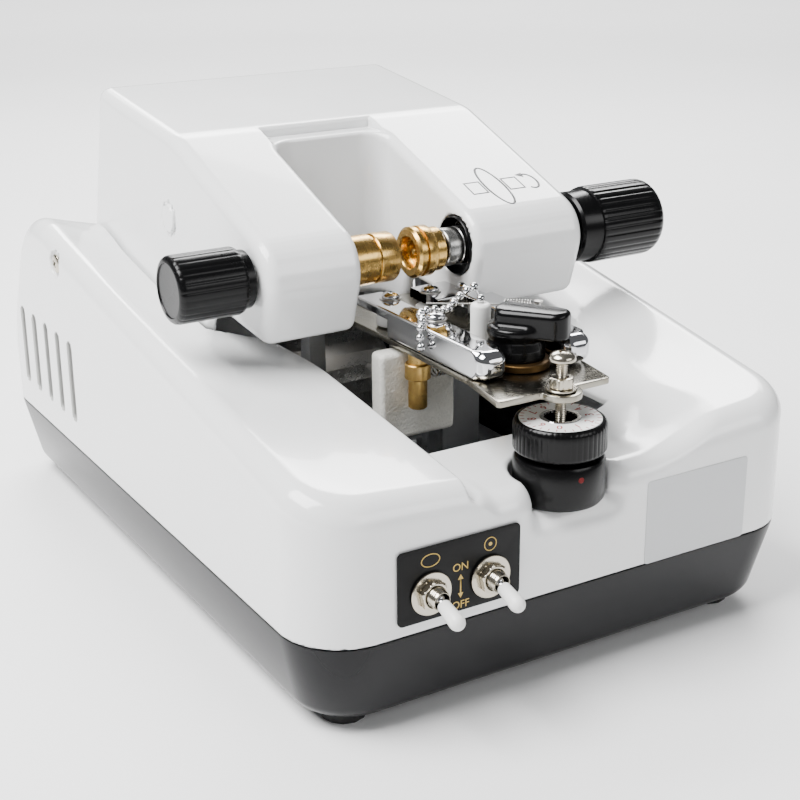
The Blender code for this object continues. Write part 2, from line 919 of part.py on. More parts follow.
def make_chassis(colours):
    """Sheet chassis with all the uprights that are welded on it."""
    half_x, half_y = chassis_size[0] / 2, chassis_size[1] / 2
    outline = rounded_rectangle(half_x, half_y, chassis_corner / 2, 3)
    frame = extruded("chassis", outline, chassis_low, chassis_low + chassis_thick)
    feet = [rod("spacer", bolt_radius * 2.4, foot_height + wall + gap, chassis_low + gap,
                (*place, 0), steps=small_steps) for place in screw_pillars()]
    frame = join(frame, *feet, *cover_stays(), *hinge_brackets(), *table_posts(),
                 motor_cradle())
    y, z = hinge_place
    holes = [rod("hole", hinge_pin_radius + gap, -hinge_half, hinge_half, (0, y, z), "X",
                 steps=small_steps)]
    y, z = table_hinge_place
    holes.append(rod("hole", table_hinge_pin_radius + gap, -hinge_half, hinge_half,
                     (0, y, z), "X", steps=small_steps))
    holes.append(rod("hole", bolt_radius + gap, -case_width, case_width, (0, *screw_place),
                     "X", steps=small_steps))
    mount_piece(cut(frame, *holes), "chassis_frame", "base", colours["zinc"])
    y, z = hinge_place
    pin = rod("pin", hinge_pin_radius, -hinge_half, hinge_half, (0, y, z), "X",
              steps=small_steps)
    mount_piece(pin, "hinge_pin", "base", colours["steel"])
    reach = post_side + post_size[0] / 2
    pin = rod("pin", table_hinge_pin_radius, -reach, reach, (0, *table_hinge_place), "X",
              steps=small_steps)
    mount_piece(pin, "table_pin", "base", colours["steel"])


def cover_stays():
    """Return the two upright strips inside the flanks that take the cover's screws."""
    y, z = screw_place
    sheet = chassis_low + chassis_thick / 2
    top = z + bolt_radius / 2
    return [block("stay", (low, y - stay_half, sheet), (high, y + stay_half, top))
            for low, high in ((-stay_x - stay_thick, -stay_x), (stay_x, stay_x + stay_thick))]


def make_cover_screws(colours):
    """Screws in the seats of the casing's flanks."""
    y, z = screw_place
    seat = case_width / 2 - screw_well_depth + gap
    head = seat + screw_head_height
    for name, side in (("left", -1), ("right", 1)):
        profile = [(0, head), (screw_radius * 0.8, head), (screw_radius, seat),
                   (bolt_radius, seat), (bolt_radius, stay_x), (0, stay_x)]
        if side < 0:
            profile = [(radius, -along) for radius, along in reversed(profile)]
        screw = turned("screw", profile, (0, y, z), axis="X", steps=small_steps)
        mount_piece(screw, name + "_cover_screw", "base", colours["steel"])


def hinge_brackets():
    """Return the two brackets of the head's hinge and the post that the head rests on."""
    y, z = hinge_place
    half = bracket_depth / 2
    sheet = chassis_low + chassis_thick / 2
    outline = [(y - half, sheet), (y + half, sheet)]
    outline += arc_points((y, z), half, 0, math.pi, 8)
    brackets = [extruded("bracket", outline, *sorted((side * bracket_inner,
                                                     side * (bracket_inner + bracket_thick))),
                         axis="X") for side in (-1, 1)]
    brackets.append(rod("stop", stop_radius, sheet, frame_low - gap, (stop_x, stop_y, 0),
                        steps=small_steps))
    return brackets


def table_posts():
    """Return the two posts that carry the table's pin."""
    y, z = table_hinge_place
    sheet = chassis_low + chassis_thick / 2
    half_x, half_y = post_size[0] / 2, post_size[1] / 2
    outline = [(y - half_y, sheet), (y + half_y, sheet)]
    outline += arc_points((y, z), half_y * 0.6, 0, math.pi, 6)
    return [extruded("post", outline, x - half_x, x + half_x, axis="X")
            for x in (-post_side, post_side)]


def motor_cradle():
    """Return the saddle that the wheel's motor lies in."""
    y, z = wheel_motor_place
    low, high = wheel_motor_span
    half = wheel_motor_radius * 0.8
    sheet = chassis_low + chassis_thick / 2
    cradle = block("cradle", (low + wall * 3, y - half, sheet),
                   (high - wall * 4, y + half, z - wheel_motor_radius * 0.45))
    seat = rod("seat", wheel_motor_radius + gap, low - overrun, high + overrun, (0, y, z),
               "X")
    return cut(cradle, seat)


def make_switches(colours):
    """Two toggle switches with their plate on the front wall."""
    front = -case_depth / 2
    x, z = panel_centre
    outline = [(x + a, z + b) for a, b in
               rounded_rectangle(panel_width / 2, panel_height / 2, wall / 2, 3)]
    plate = extruded("panel", outline, front - gap - panel_thick, front - gap, axis="Y")
    holes = [rod("hole", switch_hole_radius, front - overrun, front + overrun,
                 (place, 0, switch_height), axis="Y", steps=small_steps)
             for place in switch_places()]
    plate = cut(plate, gather("holes", holes))
    mount_piece(plate, "switch_panel", "base", colours["black"])
    face = front - gap - panel_thick
    for name, place in zip(("lens", "wheel"), switch_places()):
        half_x, deep, half_z = [value / 2 for value in switch_body_size]
        body = block("body", (place - half_x, front + wall + gap, switch_height - half_z),
                     (place + half_x, front + wall + deep * 2, switch_height + half_z))
        barrel_front = face - bushing_length
        barrel = rod("barrel", switch_hole_radius - gap, barrel_front, front + wall + deep,
                     (place, 0, switch_height), axis="Y", steps=small_steps)
        body = join(body, barrel)
        deep_bore = rod("bore", lever_clear, barrel_front - overrun,
                        lever_pivot() + lever_ball_radius + gap * 2,
                        (place, 0, switch_height), axis="Y", steps=small_steps)
        body = cut(body, deep_bore)
        mount_piece(body, name + "_switch_body", "base", colours["chrome"])
        washer = ring("washer", washer_radius, switch_hole_radius, face - gap - washer_thick,
                      face - gap, (place, 0, switch_height), axis="Y")
        nut_face = face - gap - washer_thick / 2
        nut = hex_nut(nut_width, switch_hole_radius, nut_face - nut_thick, nut_face,
                      (place, 0, switch_height), "Y")
        mount_piece(join(washer, nut), name + "_switch_nut", "base", colours["chrome"])
        make_lever(name, place, colours)


def lever_pivot():
    """Return the depth at which the toggle levers tilt."""
    return -case_depth / 2 - gap - panel_thick - bushing_length + lever_sunk


def make_lever(name, place, colours):
    """Toggle lever with a ball root and a white sleeve, pointing down when off."""
    body = name + "_lever"
    pivot = (place, lever_pivot(), switch_height)
    add_body(body, "base", pivot)
    ball = lever_ball_radius
    root = lever_root_radius
    sleeve = lever_sunk + lever_sleeve_start
    rings = [(ball * math.cos(math.radians(angle)), ball * math.sin(math.radians(angle)))
             for angle in (0, -30, -60)]
    tip = lever_tip_radius
    profile = [(0, lever_length), (tip * 0.5, lever_length - tip * 0.12),
               (tip * 0.87, lever_length - tip * 0.45), (tip, lever_length - tip),
               (root * 1.5, sleeve), (root, sleeve),
               (root, math.sqrt(ball * ball - root * root))] + rings + [(0, -ball)]
    lever = turned("lever", profile, (0, 0, 0), steps=small_steps)
    turn = Matrix.Rotation(math.pi / 2 + lever_rest, 4, "X")
    lever.data.transform(Matrix.Translation(pivot) @ turn)
    mount_piece(lever, body, body, colours["nylon"])


def hex_nut(width, hole, low, high, place, axis):
    """Return a hexagonal nut with a hole along an axis."""
    radius = width / 2 / math.cos(math.pi / 6)
    nut = rod("nut", radius, low, high, place, axis, steps=6)
    bore = rod("bore", hole, low - overrun, high + overrun, place, axis, steps=small_steps)
    return cut(nut, bore)


def head_outline(inset):
    """Return the head's side outline as corners, drawn in by a distance."""
    corners = [(head_chin, head_edge), (head_step_top, head_edge), (head_step_low, head_edge),
               (head_back_low, 0), (head_back_top, head_edge), (head_break, head_break_radius),
               (head_nose, head_nose_radius)]
    if not inset:
        return filleted(corners)
    places = [Vector(place) for place, _ in corners]
    moved = []
    for index, here in enumerate(places):
        before = (here - places[index - 1]).normalized()
        after = (places[(index + 1) % len(places)] - here).normalized()
        inward = (Vector((-before.y, before.x)) + Vector((-after.y, after.x)))
        reach = inset / (inward.length / 2)
        moved.append(tuple(here + inward.normalized() * reach))
    radii = [max(0.0, radius - inset) for _, radius in corners]
    return filleted(list(zip(moved, radii)))


def recess_cutter(name, grow):
    """Return the solid of the gap between the head's two arms."""
    left, right = recess_left - grow, recess_right + grow
    back = recess_back + grow
    front = head_nose[0] - overrun * 2
    corner = recess_corner + grow
    outline = filleted([((left, front), 0), ((right, front), 0), ((right, back), corner),
                        ((left, back), corner)], 4)
    return extruded(name, outline, head_step_low[1] - overrun * 2, head_back_top[1])


def make_head(colours):
    """White head shell: two arms round a recess, open underneath."""
    shell = extruded("head", head_outline(0), -head_half, head_half, axis="X")
    bevel = shell.modifiers.new("edge", "BEVEL")
    bevel.width = head_edge
    bevel.segments = 2
    bevel.limit_method = "ANGLE"
    bevel.angle_limit = math.radians(60)
    shell = settle(shell)
    inner_half = head_half - wall
    cavity = extruded("cavity", head_outline(wall), -inner_half, inner_half, axis="X")
    cavity = cut(cavity, recess_cutter("recess_wall", wall))
    opening = underside_cutter()
    shell = cut(shell, recess_cutter("recess", 0), cavity, opening)
    back = recess_back + rebate_depth
    step = head_break[1] - rebate_drop
    left, right = recess_left - gap / 3, recess_right + gap / 3
    ledge = block("ledge", (left, recess_back - recess_corner * 2, step),
                  (right, back, head_back_top[1]))
    shell = cut(shell, ledge)
    y, z = chuck_axis
    shell = cut(shell, rod("hole", shaft_hole_radius, -head_half - overrun,
                           recess_left + overrun, (0, y, z), "X", steps=small_steps))
    shell = cut(shell, rod("hole", clamp_hole_radius, recess_right - overrun,
                           recess_right + wall + overrun, (0, y, z), "X"))
    shell = cut(shell, rod("hole", clamp_sleeve_radius + gap, head_half - wall - overrun,
                           head_half + overrun, (0, y, z), "X"))
    add_body("head", "base", (0, *hinge_place))
    profile = [(0, wall / 2), (plug_radius, wall / 2), (plug_radius * 0.9, -plug_height),
               (0, -plug_height)]
    plug = turned("plug", profile, (-head_half, *plug_place), "X", steps=small_steps)
    mount_piece(join(shell, plug), "head_shell", "head", colours["white"])


def underside_cutter():
    """Return the cutter that opens the head's underside inside its walls."""
    low = head_step_low[1] - overrun
    high = frame_low
    inner = head_half - wall
    front, back = head_step_low[0] + wall, head_back_low[0] - wall * 2.5
    step = head_step_top[0] - wall - head_edge / 4
    rear = block("rear", (-inner, front, low), (inner, back, high))
    left = block("left", (-inner, head_chin[0] + wall, low),
                 (recess_left - wall, step, high))
    right = block("right", (recess_right + wall, head_chin[0] + wall, low),
                  (inner, step, high))
    opening = gather("opening", [rear, left, right])
    return cut(opening, recess_cutter("recess_guard", wall))


def make_head_frame(colours):
    """Steel frame in the head with the lugs that hang on the hinge pin."""
    top = frame_low + frame_thick
    left = recess_left - frame_recess_gap
    right = recess_right + frame_recess_gap
    back = recess_back + frame_recess_gap
    places = [(frame_half, frame_front), (frame_half, frame_back), (-frame_half, frame_back),
              (-frame_half, frame_front), (left, frame_front), (left, back), (right, back),
              (right, frame_front)]
    frame = extruded("frame", places, frame_low, top)
    y, z = hinge_place
    half = lug_width / 2
    for side in (-1, 1):
        outline = [(y - half / 2, top - frame_thick / 2),
                   (y - half * 2, top - frame_thick / 2)]
        outline += arc_points((y, z), half, math.pi, 2 * math.pi, 8)
        inner, outer = sorted((side * lug_inner, side * (lug_inner + lug_thick)))
        frame = join(frame, extruded("lug", outline, inner, outer, axis="X"))
    hole = rod("hole", hinge_pin_radius + gap, -hinge_half, hinge_half, (0, y, z), "X",
               steps=small_steps)
    frame = cut(join(frame, *bearing_uprights()), hole)
    mount_piece(frame, "head_frame", "head", colours["zinc"])


def bearing_uprights():
    """Return the four upright plates that carry the two chuck spindles."""
    y, z = chuck_axis
    low = frame_low + frame_thick / 2
    plates = []
    for places, radius in ((left_uprights, spindle_radius), (right_uprights, clamp_radius)):
        for x in places:
            outline = [(y - upright_half * 0.6, low), (y + upright_half, low)]
            outline += arc_points((y, z), upright_half, 0, math.pi, 8)
            plate = extruded("upright", outline, x, x + upright_thick, axis="X")
            hole = rod("hole", radius + gap, x - overrun, x + upright_thick + overrun,
                       (0, y, z), "X", steps=small_steps)
            plates.append(cut(plate, hole))
    return plates


def make_lens_motor(colours):
    """Gear motor in the head, its pulley and the belt to the left spindle."""
    y, z = lens_motor_place
    low, high = lens_motor_span
    profile = [(0, high), (lens_motor_radius, high), (lens_motor_radius, low),
               (lens_motor_radius / 2, low), (lens_motor_radius / 2, low - wall),
               (0, low - wall)]
    motor = turned("motor", profile, (0, y, z), "X", steps=round_steps)
    base = frame_low + frame_thick + gap
    foot = block("foot", (low + wall, y - lens_motor_radius * 0.8, base),
                 (high - wall, y + lens_motor_radius * 0.8, z))
    motor = join(motor, foot)
    mount_piece(motor, "lens_motor", "head", colours["zinc"])
    add_body("lens_motor_rotor", "head", (left_pulley_x, y, z))
    pulley = shaft_pulley(left_pulley_x, (y, z), lens_motor_shaft_radius, low - wall - gap,
                          left_pulley_x - pulley_width / 2 - gap)
    mount_piece(pulley, "lens_motor_pulley", "lens_motor_rotor", colours["brass"])
    belt = belt_piece(left_pulley_x, lens_motor_place, chuck_axis)
    mount_piece(belt, "lens_belt", "head", colours["rubber"])


def pulley_rim(x):
    """Return the outer profile of a flanged pulley that is centred at a place along X."""
    half = pulley_width / 2
    edge = pulley_flange * 0.8
    rim = pulley_radius + pulley_flange
    return [(rim, x + half), (rim, x + half - edge), (pulley_radius, x + half - edge),
            (pulley_radius, x - half + edge), (rim, x - half + edge), (rim, x - half)]


def shaft_pulley(x, axis_place, radius, high, low):
    """Return a shaft between two places along X with a pulley turned on it."""
    rim = pulley_rim(x)
    profile = [(0, high), (radius, high), (radius, rim[0][1]), *rim, (radius, rim[-1][1]),
               (radius, low), (0, low)]
    return turned("pulley", profile, (0, *axis_place), "X", steps=pulley_steps)


def belt_piece(x, first, second):
    """Return a flat belt round two equal pulleys, clear of their grooves."""
    first, second = Vector(first), Vector(second)
    along = (second - first).normalized()
    angle = math.atan2(along.y, along.x)

    def loop(radius):
        """Return the outline of a loop round both centres."""
        half = math.pi / 2
        far = arc_points(second, radius, angle - half, angle + half, 6)
        near = arc_points(first, radius, angle + half, angle + 3 * half, 6)
        return far + near

    inner = pulley_radius + gap
    low, high = x - belt_width / 2, x + belt_width / 2
    belt = extruded("belt", loop(inner + belt_thick), low, high, axis="X")
    hollow = extruded("hollow", loop(inner), low - overrun, high + overrun, axis="X")
    return cut(belt, hollow)


def fluted(name, radius, count, low, high, place, axis):
    """Return a knob grip with rounded flutes along its axis."""
    depth = radius * flute_depth_share
    outline = []
    for index in range(count):
        for share, reach in zip(flute_shares, (radius, radius, radius - depth)):
            angle = 2 * math.pi * (index + share) / count
            outline.append((reach * math.cos(angle), reach * math.sin(angle)))
    grip = extruded(name, outline, low, high)
    grip.data.transform(Matrix.Translation(place) @ axis_turn(axis))
    return grip


def make_left_spindle(colours):
    """Driven spindle: knob outside, pulley inside, brass chuck in the recess."""
    y, z = chuck_axis
    add_body("left_spindle", "head", (left_pulley_x, y, z))
    shaft = shaft_pulley(left_pulley_x, chuck_axis, spindle_radius, chuck_back,
                         left_knob_in - wall)
    mount_piece(shaft, "left_spindle_shaft", "left_spindle", colours["steel"])
    groove = chuck_back + (chuck_face - chuck_back) * chuck_groove_share
    slim = chuck_radius - chuck_chamfer / 3
    profile = [(0, chuck_face), (chuck_radius - chuck_chamfer, chuck_face),
               (chuck_radius, chuck_face - chuck_chamfer), (chuck_radius, groove),
               (slim, groove), (slim, groove - chuck_chamfer),
               (chuck_radius, groove - chuck_chamfer), (chuck_radius, chuck_back + gap),
               (0, chuck_back + gap)]
    chuck = turned("chuck", profile, (0, y, z), "X")
    mount_piece(chuck, "left_chuck", "left_spindle", colours["brass"])
    knob = fluted("knob", left_knob_radius, left_flutes, left_knob_out, left_knob_in,
                  (0, y, z), "X")
    socket = rod("socket", spindle_radius + gap, left_knob_in - wall * 2,
                 left_knob_in + overrun, (0, y, z), "X", steps=small_steps)
    knob = cut(knob, socket)
    mount_piece(knob, "left_knob", "left_spindle", colours["black"])


def make_clamp(colours):
    """Right side: knob on a screwed sleeve, sliding steel spindle and turning brass cup."""
    y, z = chuck_axis
    place = (0, y, z)
    bush = ring("bush", clamp_hole_radius - gap, clamp_radius + gap, recess_right,
                recess_right + clamp_bush_length, place, "X", steps=round_steps)
    mount_piece(bush, "clamp_bush", "head", colours["black"])
    add_body("clamp_knob", "head", (head_half, y, z))
    grip_low = clamp_knob_in + clamp_collar
    grip = fluted("grip", clamp_knob_radius, clamp_flutes, grip_low, clamp_knob_out
                  - clamp_end_round, place, "X")
    collar_radius = clamp_knob_radius * clamp_collar_share
    collar = rod("collar", collar_radius, clamp_knob_in, grip_low + gap, place, "X")
    end_high = clamp_knob_out
    slope = clamp_end_round
    rim = clamp_knob_radius * (1 - flute_depth_share * 2)
    end = turned("end", [(0, end_high), (rim - slope, end_high), (rim, end_high - slope),
                         (rim, end_high - slope * 2), (0, end_high - slope * 2)], place, "X")
    knob = join(grip, collar, end)
    bore = rod("bore", clamp_radius + gap, clamp_knob_in - overrun,
               clamp_end + clamp_travel + wall, place, "X")
    knob = cut(knob, bore)
    sleeve = ring("sleeve", clamp_sleeve_radius, clamp_radius + gap, right_uprights[1]
                  + upright_thick + gap, clamp_knob_in + wall, place, "X")
    mount_piece(join(knob, sleeve), "clamp_knob", "clamp_knob", colours["black"])
    start = chuck_face + gap + cup_length + cup_stub_length
    add_body("clamp_spindle", "head", (start, y, z))
    spindle = rod("spindle", clamp_radius, start, clamp_end, place, "X")
    socket = rod("socket", cup_stub_radius + gap, start - overrun, start + wall, place, "X",
                 steps=small_steps)
    spindle = cut(spindle, socket)
    mount_piece(spindle, "clamp_spindle", "clamp_spindle", colours["steel"])
    make_cup(colours, place)


def make_cup(colours, place):
    """Brass cup that turns on the end of the clamp spindle."""
    face = chuck_face + gap
    add_body("cup", "clamp_spindle", (face, *place[1:]))
    back = face + cup_length
    wide = face + cup_length * cup_wide_share
    groove = face + cup_length * cup_wide_share / 3
    profile = [(0, back + cup_stub_length + wall / 2),
               (cup_stub_radius, back + cup_stub_length + wall / 2),
               (cup_stub_radius, back), (cup_ring, back), (cup_ring, wide), (cup_radius, wide),
               (cup_radius, groove + cup_step), (cup_ring, groove + cup_step),
               (cup_ring, groove), (cup_radius, groove), (cup_radius, face),
               (cup_pocket_radius, face), (cup_pocket_radius, face + cup_pocket_depth),
               (0, face + cup_pocket_depth)]
    cup = turned("cup", profile, place, "X")
    mount_piece(cup, "right_cup", "cup", colours["brass"])


def make_wheel(colours):
    """Grooving wheel, its shaft and pulley, the bearing block and the motor with its belt."""
    y, z = wheel_axis
    place = (0, y, z)
    top = chassis_low + chassis_thick + gap
    low, high = block_span
    housing = block("housing", (low, y - block_half, z - block_half),
                    (high, y + block_half, z + block_half))
    column = block("column", (low + wall, y - block_half + wall, top),
                   (high - wall, y + block_half - wall, z - block_half + gap))
    foot = block("foot", (low, y - block_half - wall, top),
                 (high, y + block_half + wall, top + wall))
    housing = join(housing, column, foot)
    bore = rod("bore", wheel_shaft_radius + gap, low - overrun, high + overrun, place, "X",
               steps=small_steps)
    housing = cut(housing, bore)
    mount_piece(housing, "wheel_bearing_block", "base", colours["zinc"])
    add_body("wheel_spindle", "base", (wheel_x, y, z))
    shaft = shaft_pulley(wheel_pulley_x, wheel_axis, wheel_shaft_radius, wheel_shaft_end,
                         wheel_x + wheel_thick / 2 + wheel_hub_length + gap)
    half = wheel_thick / 2
    hub = half + wheel_hub_length
    profile = [(0, hub), (wheel_hub_radius, hub), (wheel_hub_radius, half),
               (wheel_radius - half, half), (wheel_radius, 0), (wheel_radius - half, -half),
               (wheel_hub_radius, -half), (wheel_hub_radius, -hub), (0, -hub)]
    wheel = turned("wheel", profile, (wheel_x, y, z), "X", steps=round_steps)
    mount_piece(shaft, "wheel_shaft", "wheel_spindle", colours["steel"])
    mount_piece(wheel, "groove_wheel", "wheel_spindle", colours["steel"])
    make_wheel_motor(colours, top)


def make_wheel_motor(colours, top):
    """Motor on the chassis, its pulley and the belt up to the wheel spindle."""
    y, z = wheel_motor_place
    low, high = wheel_motor_span
    radius = wheel_motor_radius
    profile = [(0, high), (radius * 0.4, high), (radius * 0.4, high - wall),
               (radius * 0.92, high - wall), (radius, high - wall * 2), (radius, low + wall),
               (radius * 0.92, low), (0, low)]
    motor = turned("motor", profile, (0, y, z), "X", steps=round_steps)
    mount_piece(motor, "wheel_motor", "base", colours["steel"])
    x = wheel_pulley_x
    add_body("wheel_motor_rotor", "base", (x, y, z))
    pulley = shaft_pulley(x, (y, z), lens_motor_shaft_radius,
                          x + pulley_width / 2 + gap, high + gap)
    mount_piece(pulley, "wheel_motor_pulley", "wheel_motor_rotor", colours["brass"])
    belt = belt_piece(x, wheel_motor_place, wheel_axis)
    mount_piece(belt, "wheel_belt", "base", colours["rubber"])


def make_sponge(colours):
    """Wet sponge that wipes the wheel's rim, on a bent shelf."""
    sponge = block("sponge", (sponge_x[0], sponge_y[0], sponge_low),
                   (sponge_x[1], sponge_y[1], sponge_high))
    bevel = sponge.modifiers.new("edge", "BEVEL")
    bevel.width = wall / 4
    bevel.segments = 2
    mount_piece(settle(sponge), "sponge", "base", colours["sponge"])
    seat = sponge_low - gap
    floor = seat - holder_thick
    front = sponge_y[0] + holder_thick
    back = sponge_y[1] + gap
    outline = [(front, floor), (back + holder_thick, floor),
               (back + holder_thick, seat + holder_lip), (back, seat + holder_lip),
               (back, seat), (front, seat)]
    shelf = extruded("shelf", outline, sponge_x[0], wheel_x - wheel_hub_radius, axis="X")
    low = chassis_low + chassis_thick + gap
    middle = sponge_x[0] + wall * 3
    outline = [(middle - wall, floor + holder_thick / 2), (middle - wall, low + holder_thick),
               (middle - wall * 3, low + holder_thick), (middle - wall * 3, low),
               (middle + wall * 3, low), (middle + wall * 3, low + holder_thick),
               (middle + wall, low + holder_thick), (middle + wall, floor + holder_thick / 2)]
    post = extruded("post", outline, front + holder_thick, back, axis="Y")
    mount_piece(join(shelf, post), "sponge_holder", "base", colours["zinc"])


def make_dial(colours):
    """Depth dial: fixed black base, knurled knob with a white face and a rising cam."""
    x, y = dial_place
    place = (x, y, 0)
    low, high = dial_base_low, dial_base_top
    stem_low = low - dial_stem_length
    rim = dial_base_radius
    groove = (high - low) * 0.12
    profile = [(0, high), (rim - groove, high), (rim, high - groove), (rim, low + wall),
               (rim - wall / 3, low), (dial_stem_radius, low), (dial_stem_radius, stem_low),
               (0, stem_low)]
    base = turned("dial_base", profile, place, steps=fine_steps)
    base = cut(base, rod("bore", cam_radius + gap, low, high + overrun, place,
                         steps=small_steps))
    mount_piece(base, "dial_base", "base", colours["black"])
    add_body("depth_dial", "base", (x, y, dial_knob_low))
    knob = fluted("knob", dial_radius, dial_flutes, dial_knob_low, dial_top, place, "Z")
    knob = cut(knob, rod("bore", dial_bore_radius, dial_knob_low - overrun,
                         dial_top + overrun, place, steps=small_steps))
    seat = dial_radius - dial_face_inset
    knob = cut(knob, rod("seat", seat, dial_top - dial_face_thick - gap, dial_top + overrun,
                         place, steps=round_steps))
    mount_piece(knob, "depth_dial_knob", "depth_dial", colours["black"])
    face = ring("face", seat - gap, dial_bore_radius, dial_top - dial_face_thick, dial_top,
                place, steps=round_steps)
    mount_piece(face, "depth_dial_face", "depth_dial", colours["nylon"])
    add_body("depth_cam", "base", (x, y, cam_top))
    cam = rod("cam", cam_radius, low + gap, cam_top, place, steps=small_steps)
    mount_piece(cam, "depth_cam", "depth_cam", colours["steel"])


def make_table(colours):
    """Steel table with a slot for the wheel, on ears that tilt on a pin."""
    y, z = table_hinge_place
    top = table_low + table_thick
    rise = math.asin((table_front - dial_place[1]) / table_tab_radius)
    tab = arc_points(dial_place, table_tab_radius, math.pi - rise, 2 * math.pi + rise, 8)
    places = [((table_left_front, table_front), table_corner)]
    places += [(tab[0], table_corner / 2)] + [(place, 0) for place in tab[1:-1]]
    places += [(tab[-1], table_corner / 2)]
    places += [((table_right_front, table_front + gap), table_corner),
              ((table_right, table_shoulder), table_corner),
              ((table_right, table_back), table_corner), ((table_slot_right, table_back), 0),
              ((table_slot_right, table_slot_front), 0),
              ((table_slot_left, table_slot_front), 0), ((table_slot_left, table_back), 0),
              ((table_left, table_back), table_corner),
              ((table_left, table_shoulder), table_corner)]
    plate = extruded("table", filleted(places, 3), table_low, top)
    plate = cut(plate, rod("hole", adjuster_radius + gap, table_low - overrun,
                           top + overrun, (*dial_place, 0), steps=small_steps))
    half = table_ear_half
    for low, high in table_ears:
        outline = [(y + half, table_low + gap), (y - half, table_low + gap)]
        outline += arc_points((y, z), half, math.pi, 2 * math.pi, 6)
        plate = join(plate, extruded("ear", outline, low, high, axis="X"))
    plate = cut(plate, rod("hole", table_hinge_pin_radius + gap, table_left - wall,
                           table_right + wall, (0, y, z), "X", steps=small_steps))
    holes = [rod("hole", pivot_shaft_radius + gap, table_low - overrun, top + overrun,
                 (x, pivot_y, 0), steps=small_steps) for x in (arm_left_x, arm_right_x)]
    holes.append(rod("hole", wing_stud_radius + gap, table_low - overrun, top + overrun,
                     (*wing_place, 0), steps=small_steps))
    holes.append(rod("hole", peg_stub_radius + gap, table_low - overrun, top + overrun,
                     (*peg_place, 0), steps=small_steps))
    plate = cut(plate, gather("holes", holes))
    add_body("table", "base", (0, y, z))
    mount_piece(plate, "table_plate", "table", colours["plate"])
    make_adjuster(colours)


def make_adjuster(colours):
    """Adjusting screw through the table's tab, with its nut and washer."""
    x, y = dial_place
    place = (x, y, 0)
    high = adjuster_head_low + adjuster_head_height
    crown = adjuster_head_radius
    profile = [(0, high), (crown * 0.5, high - adjuster_head_height * 0.12),
               (crown * 0.87, high - adjuster_head_height * 0.5), (crown, adjuster_head_low
                                                                  + adjuster_head_height * 0.2),
               (crown * 0.9, adjuster_head_low), (adjuster_radius, adjuster_head_low),
               (adjuster_radius, cam_top + gap), (0, cam_top + gap)]
    screw = turned("screw", profile, place, steps=small_steps)
    mount_piece(screw, "adjusting_screw", "table", colours["chrome"])
    washer_low = table_low + table_thick + gap
    washer_high = washer_low + adjuster_washer_thick
    washer = ring("washer", adjuster_washer_radius, adjuster_radius + gap, washer_low,
                  washer_high, place, steps=small_steps)
    nut = hex_nut(adjuster_nut_width, adjuster_radius + gap,
                  washer_high - adjuster_washer_thick / 2, washer_high + adjuster_nut_thick,
                  place, "Z")
    mount_piece(join(washer, nut), "adjusting_nut", "table", colours["chrome"])


def arm_bar(x, low, high, inward):
    """Return one guide arm: a bar with a rounded nose and a thin rear tongue."""
    half = arm_width / 2
    nose = arm_nose_radius
    outline = filleted([((x - half, arm_back), arm_edge), ((x - half, arm_front), nose),
                        ((x + half, arm_front), nose), ((x + half, arm_back), arm_edge)], 3)
    bar = extruded("arm", outline, low, high)
    under = high - arm_tongue_thick
    front = arm_back - arm_tongue
    bar = cut(bar, block("under", (x - arm_width, front, low - overrun),
                         (x + arm_width, arm_back + overrun, under)))
    if inward:
        bar = cut(bar, block("side", (recess_right - arm_side_gap, front, low - overrun),
                             (x + arm_width, arm_back + overrun, high + overrun)))
        edge = roller_right_x - roller_head_radius * 1.3
        plate = block("plate", (edge, front + arm_edge, under),
                      (x - half + arm_edge, arm_back - arm_edge, high))
        bar = join(bar, plate)
    return bar


def make_arm(side, colours):
    """One guide arm on its brass pivot post, with its nylon roller and screws."""
    left = side == "left"
    x = arm_left_x if left else arm_right_x
    roller_x = roller_left_x if left else roller_right_x
    body = side + "_arm"
    top = table_low + table_thick
    low = top + gap
    high = low + arm_height
    add_body(body, "table", (x, pivot_y, top))
    bar = arm_bar(x, low, high, not left)
    heads = [turned("screw", screw_crown(high - gap), (*place, 0), steps=small_steps)
             for place in (arm_screws[side], (roller_x, roller_y))]
    heads.append(rod("pin", roller_pin_radius, low + gap, high, (roller_x, roller_y, 0),
                     steps=small_steps))
    stud_x, stud_y, stud_z = guide_hook if left else guide_stud
    heads.append(rod("stud", guide_stud_radius, high - gap, stud_z + guide_spring_radius,
                     (stud_x, stud_y, 0), steps=small_steps))
    mount_piece(join(bar, *heads), body, body, colours["chrome"])
    place = (x, pivot_y, 0)
    post = rod("post", pivot_shaft_radius, pivot_shaft_low, low - gap / 2, place,
               steps=small_steps)
    collar = rod("collar", pivot_collar_radius, *pivot_collar_span, place,
                 steps=small_steps)
    mount_piece(join(post, collar), side + "_pivot_post", body, colours["brass"])
    roller = side + "_roller"
    add_body(roller, body, (roller_x, roller_y, low))
    piece = ring("roller", roller_radius, roller_pin_radius + gap, low + gap,
                 low + gap + roller_height, (roller_x, roller_y, 0), steps=small_steps)
    mount_piece(piece, roller, roller, colours["nylon"])


def screw_crown(low):
    """Return the profile of a low domed screw head that stands on a height."""
    radius, height = roller_head_radius, roller_head_height
    return [(0, low + height), (radius * 0.55, low + height * 0.9),
            (radius * 0.9, low + height * 0.5), (radius, low + height * 0.1), (radius, low),
            (0, low)]


def paddle_outline(inset):
    """Return the wing's plan outline, drawn in by a distance."""
    root, tip = wing_half_root - inset, wing_half_tip - inset
    length, back = wing_length - inset, wing_half_root - inset
    corners = [((-back, -root), root * 0.8), ((length, -tip), tip * 0.9),
               ((length, tip), tip * 0.9), ((-back, root), root * 0.8)]
    return filleted(corners, 4)


